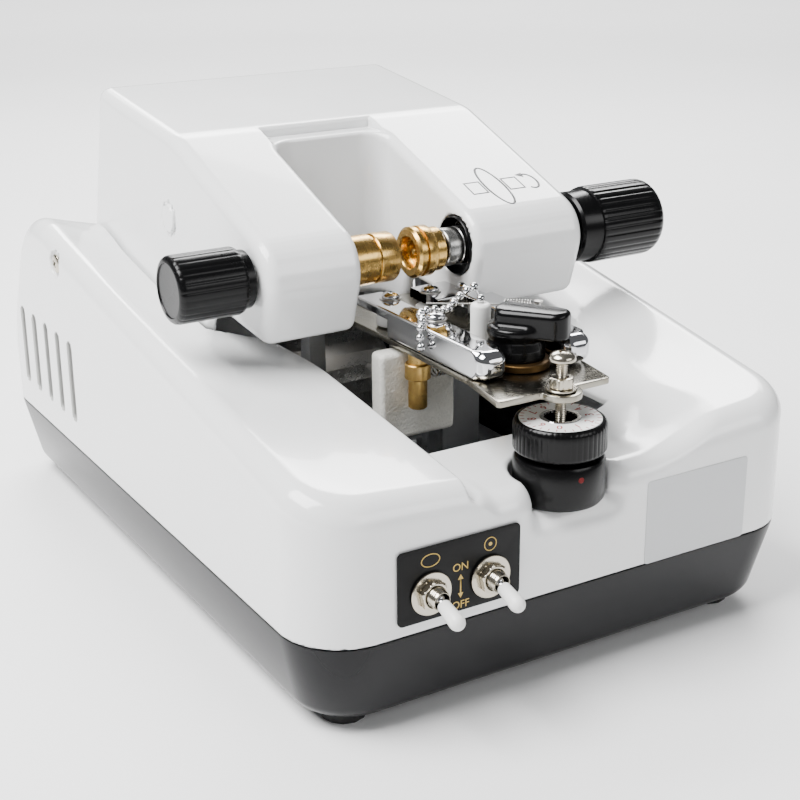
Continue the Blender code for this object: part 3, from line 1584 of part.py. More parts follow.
def make_wing(colours):
    """Black wing knob on a brass cam that pushes the guide arms apart."""
    top = table_low + table_thick
    add_body("wing_knob", "table", (*wing_place, top))
    low = top + gap
    outline = [(wing_place[0] + cam_short * math.cos(2 * math.pi * i / round_steps),
                wing_place[1] + cam_long * math.sin(2 * math.pi * i / round_steps))
               for i in range(round_steps)]
    cam = extruded("cam", outline, low, low + cam_height)
    stud = rod("stud", wing_stud_radius, table_low - wall, low + gap, (*wing_place, 0),
               steps=small_steps)
    cam = join(cam, stud)
    mount_piece(cam, "wing_cam", "wing_knob", colours["brass"])
    hub_low = low + cam_height + gap
    profile = [(0, wing_paddle_low + wall), (wing_hub_radius, wing_paddle_low + wall),
               (wing_hub_radius, wing_paddle_low - wall / 2),
               (wing_waist_radius, wing_paddle_low - wall), (wing_waist_radius, hub_low),
               (0, hub_low)]
    hub = turned("hub", profile, (*wing_place, 0))
    round_in = wall / 4
    levels = ((round_in, wing_paddle_low), (0, wing_paddle_low + round_in),
              (0, wing_paddle_top - round_in * 2), (round_in * 2, wing_paddle_top))
    paddle = loft("paddle", [level(paddle_outline(inset), height) for inset, height in levels])
    turn = Matrix.Rotation(wing_angle, 4, "Z")
    paddle.data.transform(Matrix.Translation((*wing_place, 0)) @ turn)
    mount_piece(join(hub, paddle), "wing_knob", "wing_knob", colours["black"])


def make_peg(colours):
    """White nylon peg that stands in the table between the arms."""
    top = table_low + table_thick
    place = (*peg_place, 0)
    add_body("peg", "table", (*peg_place, top))
    high = peg_top
    profile = [(0, high), (peg_radius * 0.75, high), (peg_radius, high - peg_radius * 0.35),
               (peg_radius, top + gap), (peg_stub_radius, top + gap),
               (peg_stub_radius, table_low), (0, table_low)]
    peg = turned("peg", profile, place, steps=small_steps)
    mount_piece(peg, "nylon_peg", "peg", colours["nylon"])


def smooth_path(points, spacing):
    """Return places at an even spacing along straight lines through the points."""
    points = [Vector(point) for point in points]
    places = [points[0]]
    ahead = spacing
    for start, end in zip(points, points[1:]):
        length = (end - start).length
        while ahead <= length:
            places.append(start.lerp(end, ahead / length))
            ahead += spacing
        ahead -= length
    return places


def make_chain(colours):
    """Bead chain from the peg's rim, round a screw on the left arm, with a hanging end."""
    high = table_low + table_thick + gap + arm_height
    rest = high + gap + bead_radius
    rim_x = peg_place[0] - peg_radius - gap - bead_radius
    left = arm_left_x - arm_width / 2 - gap - bead_radius
    screw_x, screw_y = arm_screws["left"]
    reach = roller_head_radius + bead_radius + gap * 2
    route = [(rim_x, peg_place[1], peg_top - peg_radius * 0.6),
             (rim_x - bead_pitch * 0.5, peg_place[1] + bead_pitch, rest + bead_pitch),
             (screw_x + reach, screw_y + reach * 0.3, rest),
             (screw_x + reach * 0.3, screw_y + reach * 1.05, rest),
             (screw_x - reach * 0.8, screw_y + reach * 0.8, rest),
             (left, screw_y, rest + gap),
             (left - gap, screw_y - reach, rest - bead_radius),
             (left - gap, screw_y - reach * 1.3, high - arm_height * 0.6)]
    centres = smooth_path(route, bead_pitch)[:bead_count]
    points, shares = [], []
    rings = ((-1.0, bead_neck_radius), (-0.5, bead_radius), (0.5, bead_radius),
             (1.0, bead_neck_radius))
    for index, centre in enumerate(centres):
        after = centres[min(index + 1, len(centres) - 1)]
        before = centres[max(index - 1, 0)]
        along = (after - before).normalized()
        for place, radius in rings:
            points.append(centre + along * place * bead_radius)
            shares.append(radius / bead_radius)
    chain = tube("chain", points, bead_radius, 1, shares)
    mount_piece(chain, "bead_chain", "left_arm", colours["chrome"], smooth=1.2)


def coil(radius, wire, turns, pitch, lead):
    """Return the points of a spring along +X whose ends run straight to its axis."""
    points = [Vector((0, 0, 0)), Vector((lead, 0, 0))]
    for index in range(turns * spring_points + 1):
        angle = 2 * math.pi * index / spring_points
        x = lead + wire * 3 + pitch * index / spring_points
        points.append(Vector((x, radius * math.sin(angle), radius * math.cos(angle))))
    end = points[-1].x + wire * 3
    points.append(Vector((end, 0, 0)))
    points.append(Vector((end + lead, 0, 0)))
    return points


def report_gap(name, points, wire):
    """Print how near a wound wire comes to itself, measured between its points."""
    nearest = min((a - b).length for i, a in enumerate(points)
                  for b in points[i + spring_points - 2:])
    print(name, "least gap to itself in mm:", round((nearest - 2 * wire) * 1000, 3))


def make_springs(colours):
    """Return spring of the left arm and the closing spring between the arms."""
    lead = collar_spring_wire * 2
    points = coil(collar_spring_radius, collar_spring_wire, collar_spring_turns,
                  collar_spring_pitch, lead)
    report_gap("return_spring", points[2:-2], collar_spring_wire)
    start = Vector((arm_left_x + pivot_collar_radius + gap, pivot_y,
                    sum(pivot_collar_span) / 2))
    spring = tube("spring", [point + start for point in points], collar_spring_wire)
    mount_piece(spring, "return_spring", "table", colours["chrome"], smooth=1.2)
    anchor_x = start.x + points[-1].x + gap
    half = anchor_half
    anchor = block("anchor", (anchor_x, pivot_y - half, start.z - half),
                   (anchor_x + half * 2, pivot_y + half, table_low - gap))
    mount_piece(anchor, "spring_anchor", "table", colours["brass"])
    lead = guide_spring_wire * 2
    points = coil(guide_spring_radius, guide_spring_wire, guide_spring_turns,
                  guide_spring_pitch, lead)
    report_gap("closing_spring", points[2:-2], guide_spring_wire)
    stud = Vector(guide_stud)
    hook = Vector(guide_hook)
    along = (hook - stud).normalized()
    turn = Vector((1, 0, 0)).rotation_difference(along)
    start = stud + along * (guide_stud_radius + gap)
    coil_points = [start + turn @ point for point in points]
    route = coil_points + [hook - along * (guide_stud_radius + gap)]
    spring = tube("spring", route, guide_spring_wire)
    mount_piece(spring, "closing_spring", "right_arm", colours["steel"], smooth=1.2)


def place_on_origin():
    """Shift the whole machine so that its bounding box stands centred on the origin."""
    bpy.context.view_layer.update()
    low, high = Vector((1, 1, 1)), Vector((-1, -1, -1))
    for thing in collection("lens_groover").objects:
        if thing.type != "MESH":
            continue
        for vertex in thing.data.vertices:
            point = thing.matrix_world @ vertex.co
            low = Vector(map(min, low, point))
            high = Vector(map(max, high, point))
    shift = Vector((-(low.x + high.x) / 2, -(low.y + high.y) / 2, -low.z))
    bodies["base"]["carrier"].location = shift
    print("shift", [round(value, 6) for value in shift])
    print("size", [round(value, 6) for value in high - low])
    for name, group in bodies.items():
        print("joint", name, [round(value, 6) for value in group["place"] + shift])


def main():
    """Build the whole machine."""
    clear_scene()
    colours = make_finishes()
    add_body("base")
    make_tray(colours)
    make_casing(colours)
    make_back_sockets(colours)
    make_chassis(colours)
    make_cover_screws(colours)
    make_switches(colours)
    make_head(colours)
    make_head_frame(colours)
    make_lens_motor(colours)
    make_left_spindle(colours)
    make_clamp(colours)
    make_wheel(colours)
    make_sponge(colours)
    make_dial(colours)
    make_table(colours)
    make_arm("left", colours)
    make_arm("right", colours)
    make_wing(colours)
    make_peg(colours)
    make_chain(colours)
    make_springs(colours)
    place_on_origin()


main()
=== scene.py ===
"""Lens groover: the bench machine's visible surfaces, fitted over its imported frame.

All sizes are metres. The machine's own sizes are measured from the middle of the casing's
footprint and from the floor, and every finished mesh is moved by SHIFT into the frame.
"""
import logging
from dataclasses import dataclass
from enum import Enum
from functools import cache
from math import asin, atan2, cos, degrees, hypot, pi, radians, sin, sqrt, tan
from typing import Callable, Iterable, Sequence

import bmesh
import bpy
import numpy as np
from mathutils import Matrix, Vector


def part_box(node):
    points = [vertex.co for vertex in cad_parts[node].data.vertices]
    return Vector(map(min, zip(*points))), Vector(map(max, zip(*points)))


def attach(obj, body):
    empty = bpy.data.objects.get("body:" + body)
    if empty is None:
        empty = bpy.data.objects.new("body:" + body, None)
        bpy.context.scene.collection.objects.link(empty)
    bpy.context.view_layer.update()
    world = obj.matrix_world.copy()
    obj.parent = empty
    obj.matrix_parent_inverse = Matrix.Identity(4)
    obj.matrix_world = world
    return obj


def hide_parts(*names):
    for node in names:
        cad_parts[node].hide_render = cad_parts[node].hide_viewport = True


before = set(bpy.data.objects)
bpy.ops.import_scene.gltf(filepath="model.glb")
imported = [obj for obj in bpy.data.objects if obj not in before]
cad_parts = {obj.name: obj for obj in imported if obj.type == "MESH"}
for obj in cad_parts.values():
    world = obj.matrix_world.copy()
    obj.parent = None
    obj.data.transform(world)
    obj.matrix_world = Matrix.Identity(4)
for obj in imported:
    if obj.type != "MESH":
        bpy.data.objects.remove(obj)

LOG = logging.getLogger("lens_groover")
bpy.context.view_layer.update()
CASING_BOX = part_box("upper_casing")
SHIFT = Vector([(a + b) / 2 for a, b in zip(*CASING_BOX)][:2] + [0])

Array = np.ndarray
Thing = bpy.types.Object
Material = bpy.types.Material
Socket = bpy.types.NodeSocket
Point = Sequence[float]
Field = Callable[[Array, Array, Array], Array]


class Axis(Enum):
    """A direction that a turned or drawn-out piece runs along."""

    X = (1.0, 0.0, 0.0)
    Y = (0.0, 1.0, 0.0)
    Z = (0.0, 0.0, 1.0)

    def turn(self) -> Matrix:
        """Return the turn that takes +Z to this axis."""
        if self is Axis.X:
            return Matrix.Rotation(pi / 2, 4, "Y")
        return Matrix.Rotation(-pi / 2 if self is Axis.Y else 0.0, 4, "X")


# Shader building


class Value:
    """A number socket that takes part in Python arithmetic."""

    def __init__(self, shade: "Shade", socket: Socket) -> None:
        """Keep the socket and the material that it belongs to."""
        self.shade, self.socket = shade, socket

    def math(self, operation: str, other: "Value | float", clamp: bool = False) -> "Value":
        """Return a Math node's output; clamp holds it between 0 and 1."""
        node = self.shade.node(
            "ShaderNodeMath", {"operation": operation, "use_clamp": clamp}, {0: self, 1: other})
        return Value(self.shade, node.outputs[0])

    def __add__(self, other: "Value | float") -> "Value":
        """Add."""
        return self.math("ADD", other)

    def __sub__(self, other: "Value | float") -> "Value":
        """Subtract."""
        return self.math("SUBTRACT", other)

    def __mul__(self, other: "Value | float") -> "Value":
        """Multiply."""
        return self.math("MULTIPLY", other)

    def clamp(self) -> "Value":
        """Hold between 0 and 1."""
        return self.math("ADD", 0.0, clamp=True)


class Shade:
    """A material that is put together from nodes."""

    def __init__(self, name: str) -> None:
        """Start a material with an empty Principled shader.

        Args:
            name: the material's name.
        """
        self.material = bpy.data.materials.new(name)
        self.material.use_nodes = True
        self.tree = self.material.node_tree
        self.shader = self.tree.nodes["Principled BSDF"]

    def node(self, kind: str, settings: dict, inputs: dict) -> bpy.types.Node:
        """Add a node, set its settings first and then its sockets.

        Args:
            kind: the node's type.
            settings: its properties.
            inputs: a value, socket or Value for each socket's name or number.

        Returns:
            The new node.
        """
        node = self.tree.nodes.new(kind)
        for key, value in settings.items():
            setattr(node, key, value)
        for key, value in inputs.items():
            self.feed(node.inputs[key], value)
        return node

    def feed(self, socket: Socket, value: object) -> None:
        """Link a socket to a value, or set it to a number or colour.

        Args:
            socket: the socket.
            value: a Value, a socket, a number or a colour.
        """
        value = value.socket if isinstance(value, Value) else value
        if isinstance(value, Socket):
            self.tree.links.new(value, socket)
        elif socket.type == "RGBA":
            socket.default_value = (*value, 1.0)
        else:
            socket.default_value = value

    def place(self, centre: Point = (0, 0, 0), scale: Point = (1, 1, 1)) -> Socket:
        """Return Object coordinates in the frame.

        Args:
            centre: the point that they are measured from.
            scale: a factor for each direction.

        Returns:
            The coordinates.
        """
        source = self.node("ShaderNodeTexCoord", {}, {})
        shift = self.node("ShaderNodeVectorMath", {"operation": "SUBTRACT"},
                          {0: source.outputs["Object"], 1: tuple(centre)})
        mapping = self.node("ShaderNodeMapping", {"vector_type": "POINT"},
                            {"Vector": shift.outputs[0], "Scale": tuple(scale)})
        return mapping.outputs[0]

    def noise(self, vector: Socket, scale: float, detail: float = 2.0,
              roughness: float = 0.5) -> Value:
        """Return a noise value; its scale is in features per metre."""
        node = self.node(
            "ShaderNodeTexNoise", {"noise_dimensions": "3D"},
            {"Vector": vector, "Scale": scale, "Detail": detail, "Roughness": roughness})
        return Value(self, node.outputs[0])

    def mix(self, factor: Value, first: Point, second: Point) -> Socket:
        """Return a colour that goes from the first to the second with the factor."""
        node = self.node("ShaderNodeMix", {"data_type": "RGBA"}, {0: factor, 6: first, 7: second})
        return node.outputs[2]

    def bump(self, height: Value, depth: float, strength: float = 1.0) -> None:
        """Feed a height, counted in depths of so many metres, to the shader's normal."""
        node = self.node(
            "ShaderNodeBump", {}, {"Height": height, "Distance": depth, "Strength": strength})
        self.feed(self.shader.inputs["Normal"], node.outputs[0])

    def set(self, **values: object) -> None:
        """Set the shader's sockets; underscores stand for spaces."""
        for key, value in values.items():
            self.feed(self.shader.inputs[key.replace("_", " ")], value)


def scaled(colour: Point, share: float) -> Point:
    """Return a colour times a share."""
    return tuple(value * share for value in colour)


@dataclass(frozen=True)
class Finish:
    """A surface finish; each kind says how its material is made."""

    name: str
    colour: tuple[float, float, float]
    roughness: float

    def build(self) -> Material:
        """Make the material.

        Returns:
            The material.
        """
        shade = Shade(self.name)
        shade.set(Base_Color=self.colour, Roughness=self.roughness)
        self.dress(shade)
        shade.material.diffuse_color = (*self.colour, 1.0)
        return shade.material

    def dress(self, shade: Shade) -> None:
        """Add the finish's nodes."""


@dataclass(frozen=True)
class Moulded(Finish):
    """Moulded plastic: a faint orange peel, uneven gloss and a little dust."""

    peel: float = 260.0
    peel_depth: float = 0.00003
    spread: float = 0.06
    tint: float = 0.03
    coat: float = 0.0
    metallic: float = 0.0
    gloss: float = 0.5

    def dress(self, shade: Shade) -> None:
        """Add the peel, the gloss spread and the dust.

        Args:
            shade: the material to add them to.
        """
        place = shade.place()
        cloud = shade.noise(place, 22.0, 3.0)
        fine = shade.noise(place, self.peel, 1.0)
        dust = shade.noise(place, 1500.0, 2.0, 0.7).math("GREATER_THAN", 0.73)
        colour = shade.mix(cloud, scaled(self.colour, 1 - self.tint), self.colour)
        dull = (cloud - 0.5) * self.spread * 2 + self.roughness + dust * self.spread
        shade.set(Base_Color=colour, Roughness=dull, Metallic=self.metallic,
                  Specular_IOR_Level=self.gloss)
        if self.coat:
            shade.set(Coat_Weight=self.coat, Coat_Roughness=0.04)
        shade.bump(fine, self.peel_depth, 0.6)


@dataclass(frozen=True)
class Turned(Finish):
    """Metal turned in a lathe: fine rings round an axis, with darker stains."""

    centre: tuple[float, float, float] = (0.0, 0.0, 0.0)
    axis: Axis = Axis.X
    stain: float = 0.25
    stain_colour: tuple[float, float, float] = (0.2, 0.1, 0.03)
    depth: float = 0.00002

    def dress(self, shade: Shade) -> None:
        """Add the rings and the stains.

        Args:
            shade: the material to add them to.
        """
        place, line = shade.place(self.centre), self.axis.value

        def vector(operation: str, *values: object) -> bpy.types.Node:
            """Return a Vector Math node."""
            return shade.node(
                "ShaderNodeVectorMath", {"operation": operation}, dict(enumerate(values)))

        flat = vector("MULTIPLY", place, tuple(1.0 - value for value in line))
        radius = vector("LENGTH", flat.outputs[0])
        length = vector("DOT_PRODUCT", place, line)
        join = shade.node(
            "ShaderNodeCombineXYZ", {}, {0: radius.outputs["Value"], 1: length.outputs["Value"]})
        rings = shade.noise(join.outputs[0], 5200.0, 2.0, 0.7)
        wide = shade.noise(join.outputs[0], 900.0, 2.0)
        stains = shade.noise(shade.place(), 260.0, 4.0, 0.6)
        mask = ((stains - 0.45) * 4.0).clamp() * self.stain
        shade.set(Base_Color=shade.mix(mask, self.colour, self.stain_colour), Metallic=1.0,
                  Roughness=(rings - 0.5) * 0.25 + self.roughness + mask * 0.3)
        shade.bump(rings + wide * 1.5, self.depth)


@dataclass(frozen=True)
class Ground(Finish):
    """Rolled or ground steel: long scratches one way, smudges and stained patches."""

    grain: tuple[float, float, float] = (1.0, 0.05, 1.0)
    stain: float = 0.3
    stain_colour: tuple[float, float, float] = (0.28, 0.24, 0.17)
    depth: float = 0.00001

    def dress(self, shade: Shade) -> None:
        """Add the scratches, the smudges and the stains.

        Args:
            shade: the material to add them to.
        """
        lines = shade.noise(shade.place(scale=self.grain), 2600.0, 3.0, 0.6)
        cloud = shade.noise(shade.place(), 70.0, 4.0, 0.6)
        mask = ((cloud - 0.45) * 3.0).clamp() * self.stain
        shade.set(Base_Color=shade.mix(mask, self.colour, self.stain_colour), Metallic=1.0,
                  Roughness=(lines - 0.5) * 0.3 + self.roughness + mask * 0.25)
        shade.bump(lines, self.depth)


@dataclass(frozen=True)
class Plated(Finish):
    """Polished chrome with faint smudges and pin marks."""

    def dress(self, shade: Shade) -> None:
        """Add the smudges.

        Args:
            shade: the material to add them to.
        """
        smudge = shade.noise(shade.place(), 240.0, 4.0, 0.6)
        wave = shade.noise(shade.place(), 120.0, 1.0)
        gloss = ((smudge - 0.5) * 3.0).clamp() * 0.12 + self.roughness
        shade.set(Metallic=1.0, Roughness=gloss)
        shade.bump(wave, 0.00005, 0.5)


@dataclass(frozen=True)
class Foam(Finish):
    """Open-cell sponge: small round pores in two sizes, painted shade in the pores and a slightly
    stained face.
    """

    def dress(self, shade: Shade) -> None:
        """Add the pores, the painted shade in them and the stains.

        Args:
            shade: the material to add them to.
        """
        place = shade.place()
        wide, fine = [
            Value(shade, shade.node("ShaderNodeTexVoronoi", {},
                                    {"Vector": place, "Scale": scale}).outputs["Distance"])
            for scale in (1100.0, 2600.0)]
        height = (wide * 1.4).clamp() + (fine * 1.2).clamp() * 0.5
        cloud = shade.noise(place, 90.0, 4.0)
        # The colour darkens in the pores' pits, which is painted shade, and in cloudy patches,
        # which are stains.
        shade.set(Base_Color=shade.mix((height * 0.5 + cloud * 0.6).clamp(),
                                       scaled(self.colour, 0.82), self.colour))
        shade.bump(height, 0.00022, 0.5)


@dataclass(frozen=True)
class Gritty(Finish):
    """Diamond-coated or rubbery surface with an even grain."""

    metallic: float = 0.0
    grain: float = 4000.0

    def dress(self, shade: Shade) -> None:
        """Add the grain.

        Args:
            shade: the material to add them to.
        """
        grain = shade.noise(shade.place(), self.grain, 2.0, 0.6)
        shade.set(Base_Color=shade.mix(grain, scaled(self.colour, 0.6), self.colour),
                  Metallic=self.metallic)
        shade.bump(grain, 0.0001)


# Mesh tools


def link(name: str, data: bpy.types.ID) -> Thing:
    """Return an object that holds data, linked to the scene.

    Args:
        name: the object's name.
        data: a mesh, curve, light or camera.

    Returns:
        The object.
    """
    thing = bpy.data.objects.new(name, data)
    bpy.context.scene.collection.objects.link(thing)
    return thing


def from_parts(name: str, points: Iterable[Point], faces: Sequence = (),
               edges: Sequence = ()) -> Thing:
    """Return an object made of points, faces and edges.

    Args:
        name: the object's name.
        points: the places.
        faces: their faces.
        edges: their loose edges.

    Returns:
        The object.
    """
    mesh = bpy.data.meshes.new(name)
    mesh.from_pydata([tuple(point) for point in points], edges, faces)
    return link(name, mesh)


def from_form(name: str, form: bmesh.types.BMesh) -> Thing:
    """Return an object made of a bmesh, which is freed.

    Args:
        name: the object's name.
        form: the bmesh.

    Returns:
        The object.
    """
    mesh = bpy.data.meshes.new(name)
    form.to_mesh(mesh)
    form.free()
    return link(name, mesh)


def smooth(thing: Thing, angle: float = 0.7) -> Thing:
    """Shade an object smooth, with edges sharper than an angle kept sharp.

    Args:
        thing: the object.
        angle: the angle.

    Returns:
        The same object.
    """
    thing.data.shade_smooth()
    thing.data.set_sharp_from_angle(angle=angle)
    return thing


def move(thing: Thing, matrix: Matrix) -> Thing:
    """Move an object's mesh, so that the object itself stays at the origin."""
    thing.data.transform(matrix)
    return thing


def at(*place: float) -> Matrix:
    """Return the move from zero to a place."""
    return Matrix.Translation(place)


def freeze(thing: Thing, weld: float = 0.0) -> Thing:
    """Turn a curve, text or modified object into a plain mesh at the origin.

    Args:
        thing: the object, which is removed.
        weld: the distance under which points are merged, or 0.

    Returns:
        The plain object, with outward faces where it was welded.
    """
    bpy.context.view_layer.update()
    graph = bpy.context.evaluated_depsgraph_get()
    mesh = bpy.data.meshes.new_from_object(thing.evaluated_get(graph))
    mesh.transform(thing.matrix_world)
    name = thing.name
    bpy.data.objects.remove(thing, do_unlink=True)
    if weld:
        form = bmesh.new()
        form.from_mesh(mesh)
        bmesh.ops.remove_doubles(form, verts=form.verts, dist=weld)
        bmesh.ops.recalc_face_normals(form, faces=form.faces)
        form.to_mesh(mesh)
        form.free()
    return link(name, mesh)


def merged(name: str, things: Iterable[Thing]) -> Thing:
    """Put several mesh objects into one, keeping each one's material.

    Args:
        name: the new object's name.
        things: the objects, which are removed.

    Returns:
        The new object.
    """
    materials: list = []
    form = bmesh.new()
    for thing in things:
        slots = list(thing.data.materials)
        before = len(form.faces)
        form.from_mesh(thing.data)
        form.faces.ensure_lookup_table()
        for face in form.faces[before:]:
            own = slots[min(face.material_index, len(slots) - 1)] if slots else None
            if own not in materials:
                materials.append(own)
            face.material_index = materials.index(own)
        bpy.data.objects.remove(thing, do_unlink=True)
    result = from_form(name, form)
    for material in materials:
        result.data.materials.append(material)
    return result


def loft(name: str, loops: Sequence[Sequence[Point]], around: bool = False) -> Thing:
    """Return a skin through loops of equal count.

    Args:
        name: the object's name.
        loops: the loops in order.
        around: whether the last loop joins the first; if not, both are closed.

    Returns:
        The object, with outward faces.
    """
    form = bmesh.new()
    rows = [[form.verts.new(point) for point in loop] for loop in loops]
    count = len(rows[0])
    for low, high in zip(rows, [*rows[1:], rows[0]] if around else rows[1:]):
        for i in range(count):
            j = (i + 1) % count
            form.faces.new((low[i], low[j], high[j], high[i]))
    if not around:
        form.faces.new(rows[0][::-1])
        form.faces.new(rows[-1])
    bmesh.ops.remove_doubles(form, verts=form.verts, dist=1e-7)
    bmesh.ops.recalc_face_normals(form, faces=form.faces)
    return smooth(from_form(name, form))


def lathe(name: str, profile: Sequence[Point], steps: int = 64, place: Point = (0, 0, 0),
          axis: Axis = Axis.Z, flutes: int = 0) -> Thing:
    """Return a turned piece, with flutes where asked.

    Args:
        name: the object's name.
        profile: radius and height of each ring, and its depth of flute where it has one; a
            closed ring if neither end is on the axis.
        steps: the sides of each ring.
        place: the point that heights are measured from.
        axis: the direction of the piece.
        flutes: the number of grooves round the piece.

    Returns:
        The object.
    """
    angles = [2 * pi * step / steps for step in range(steps)]
    loops = []
    for radius, height, *depth in profile:
        loop = []
        for angle in angles:
            wave = 0.5 + 0.5 * cos(angle * flutes) if flutes else 0.0
            reach = max(1e-9, radius - sum(depth) * wave ** 3)
            loop.append((reach * cos(angle), reach * sin(angle), height))
        loops.append(loop)
    thing = loft(name, loops, around=profile[0][0] > 0 and profile[-1][0] > 0)
    return move(thing, at(*place) @ axis.turn())


def oval(half_x: float, half_y: float, steps: int, middle: Point = (0, 0, 0)) -> list:
    """Return the points of a level ellipse, from its half sizes."""
    x, y, z = middle
    return [(half_x * cos(a) + x, half_y * sin(a) + y, z)
            for a in np.linspace(0, 2 * pi, steps, endpoint=False)]


def arc(centre: Point, radius: float, start: float, end: float, steps: int) -> list:
    """Return points on an arc.

    Args:
        centre: its centre.
        radius: its radius.
        start: its first angle in degrees.
        end: its last angle.
        steps: the number of its parts.

    Returns:
        The points.
    """
    first, last = radians(start), radians(end)
    turns = [first + (last - first) * i / steps for i in range(steps + 1)]
    return [(centre[0] + radius * cos(a), centre[1] + radius * sin(a)) for a in turns]


def hole(centre: Point, radius: float) -> list:
    """Return the outline of a round hole."""
    return arc(centre, radius, 0, 345, 23)


def rounded(corners: Sequence[tuple[Point, float]], steps: int = 8) -> list:
    """Return an outline with each corner rounded.

    Args:
        corners: a place and a radius for each corner.
        steps: the parts of each arc.

    Returns:
        The outline.
    """
    outline = []
    for index, (place, radius) in enumerate(corners):
        here = Vector(place)
        if radius <= 0:
            outline.append(tuple(here))
            continue
        before = (Vector(corners[index - 1][0]) - here).normalized()
        after = (Vector(corners[(index + 1) % len(corners)][0]) - here).normalized()
        half = before.angle(after) / 2
        centre = here + (before + after).normalized() * (radius / sin(half))
        first = here + before * (radius / tan(half)) - centre
        last = here + after * (radius / tan(half)) - centre
        sweep = first.angle_signed(last)
        outline += [tuple(centre + Matrix.Rotation(-sweep * i / steps, 2) @ first)
                    for i in range(steps + 1)]
    return outline


def box_outline(half_x: float, half_y: float, radius: float, steps: int = 8,
                middle: Point = (0, 0)) -> list:
    """Return the outline of a rectangle with round corners, from its half sizes."""
    x, y = middle
    return rounded([((x + a * half_x, y + b * half_y), radius)
                    for a, b in ((1, 1), (-1, 1), (-1, -1), (1, -1))], steps)


def spline(curve: bpy.types.Curve, points: Sequence[Point], closed: bool) -> None:
    """Add a line of straight parts to a curve.

    Args:
        curve: the curve.
        points: the line's places, in the plane or in space.
        closed: whether its ends join.
    """
    line = curve.splines.new("POLY")
    line.points.add(len(points) - 1)
    for point, place in zip(line.points, points):
        point.co = (*place, 0)[:3] + (1,)
    line.use_cyclic_u = closed


def slab(name: str, outline: Sequence[Point], low: float, high: float, axis: Axis = Axis.Z,
         edge: float = 0.0, holes: Sequence[Sequence[Point]] = ()) -> Thing:
    """Return a flat outline drawn out along an axis, with rounded edges and holes.

    Args:
        name: the object's name.
        outline: the outer outline; on X it holds Y and Z, on Y it holds X and Z.
        low: where it starts along the axis.
        high: where it ends.
        axis: the direction.
        edge: the rounding of its edges.
        holes: inner outlines.

    Returns:
        The object.
    """
    curve = bpy.data.curves.new(name, "CURVE")
    curve.dimensions, curve.fill_mode = "2D", "BOTH"
    curve.extrude = (high - low) / 2 - edge
    curve.bevel_depth, curve.bevel_resolution, curve.offset = edge, 2, -edge
    for points in (outline, *holes):
        spline(curve, points, True)
    thing = move(freeze(link(name, curve), weld=1e-6), at(0, 0, (low + high) / 2))
    if axis is Axis.X:
        move(thing, Matrix(((0, 0, 1, 0), (1, 0, 0, 0), (0, 1, 0, 0), (0, 0, 0, 1))))
    if axis is Axis.Y:
        move(thing, Matrix(((1, 0, 0, 0), (0, 0, 1, 0), (0, 1, 0, 0), (0, 0, 0, 1))))
        thing.data.flip_normals()
    return smooth(thing, 0.6)


def wire(name: str, points: Sequence[Point], radius: float, sides: int = 4,
         closed: bool = False) -> Thing:
    """Return a round wire along points.

    Args:
        name: the object's name.
        points: the wire's path.
        radius: its radius.
        sides: how finely it is rounded.
        closed: whether its ends join.

    Returns:
        The wire.
    """
    curve = bpy.data.curves.new(name, "CURVE")
    curve.dimensions, curve.use_fill_caps = "3D", True
    curve.bevel_depth, curve.bevel_resolution = radius, sides
    spline(curve, points, closed)
    return smooth(freeze(link(name, curve), weld=1e-7), 1.2)


def block(name: str, low: Point, high: Point, edge: float = 0.0003) -> Thing:
    """Return a box with rounded edges.

    Args:
        name: the object's name.
        low: its lowest corner.
        high: its highest corner.
        edge: the rounding, or 0.

    Returns:
        The box.
    """
    form = bmesh.new()
    bmesh.ops.create_cube(form, size=1.0)
    bmesh.ops.scale(form, vec=[b - a for a, b in zip(low, high)], verts=form.verts)
    bmesh.ops.translate(form, vec=[(a + b) / 2 for a, b in zip(low, high)], verts=form.verts)
    if edge:
        bmesh.ops.bevel(
            form, geom=list(form.edges), offset=edge, segments=3, profile=0.5, affect="EDGES")
    return smooth(from_form(name, form))


def cut(thing: Thing, cutter: Thing) -> Thing:
    """Take a cutter away from a solid.

    Args:
        thing: the solid.
        cutter: the piece to take away, which is removed.

    Returns:
        What is left.
    """
    boolean = thing.modifiers.new("cut", "BOOLEAN")
    boolean.operation, boolean.solver, boolean.object = "DIFFERENCE", "EXACT", cutter
    thing = freeze(thing)
    bpy.data.objects.remove(cutter, do_unlink=True)
    return thing


# Moulded skins: a solid is written as a distance field and its surface is meshed


def round_common(a: Array, b: Array, radius: float | Array) -> Array:
    """Return the space inside both fields, with their edge rounded."""
    u, v = np.maximum(a + radius, 0), np.maximum(b + radius, 0)
    return np.minimum(-radius, np.maximum(a, b)) + np.hypot(u, v)


def round_cut(a: Array, b: Array, radius: float | Array) -> Array:
    """Return the space inside a and outside b, with their edge rounded."""
    return round_common(a, -b, radius)


def round_join(a: Array, b: Array, radius: float | Array) -> Array:
    """Return the space inside either field, with their corner filled."""
    return -round_common(-a, -b, radius)


def outline_distance(outline: Sequence[Point], u: Array, v: Array) -> Array:
    """Return the signed distance from an outline.

    Args:
        outline: the outline's corners.
        u: places along its first direction.
        v: places along its second direction.

    Returns:
        The distances, negative inside.
    """
    best: Array | float = 1e9
    inside: Array | bool = False
    for (ax, ay), (bx, by) in zip(outline, [*outline[1:], outline[0]]):
        ex, ey = bx - ax, by - ay
        if ex == 0 and ey == 0:
            continue
        wx, wy = u - ax, v - ay
        share = np.clip((wx * ex + wy * ey) / (ex * ex + ey * ey), 0, 1)
        best = np.minimum(best, np.hypot(wx - ex * share, wy - ey * share))
        if ey != 0:
            crosses = (ay > v) != (by > v)
            inside = inside ^ (crosses & (u < ex * (v - ay) / ey + ax))
    return np.where(inside, -best, best)


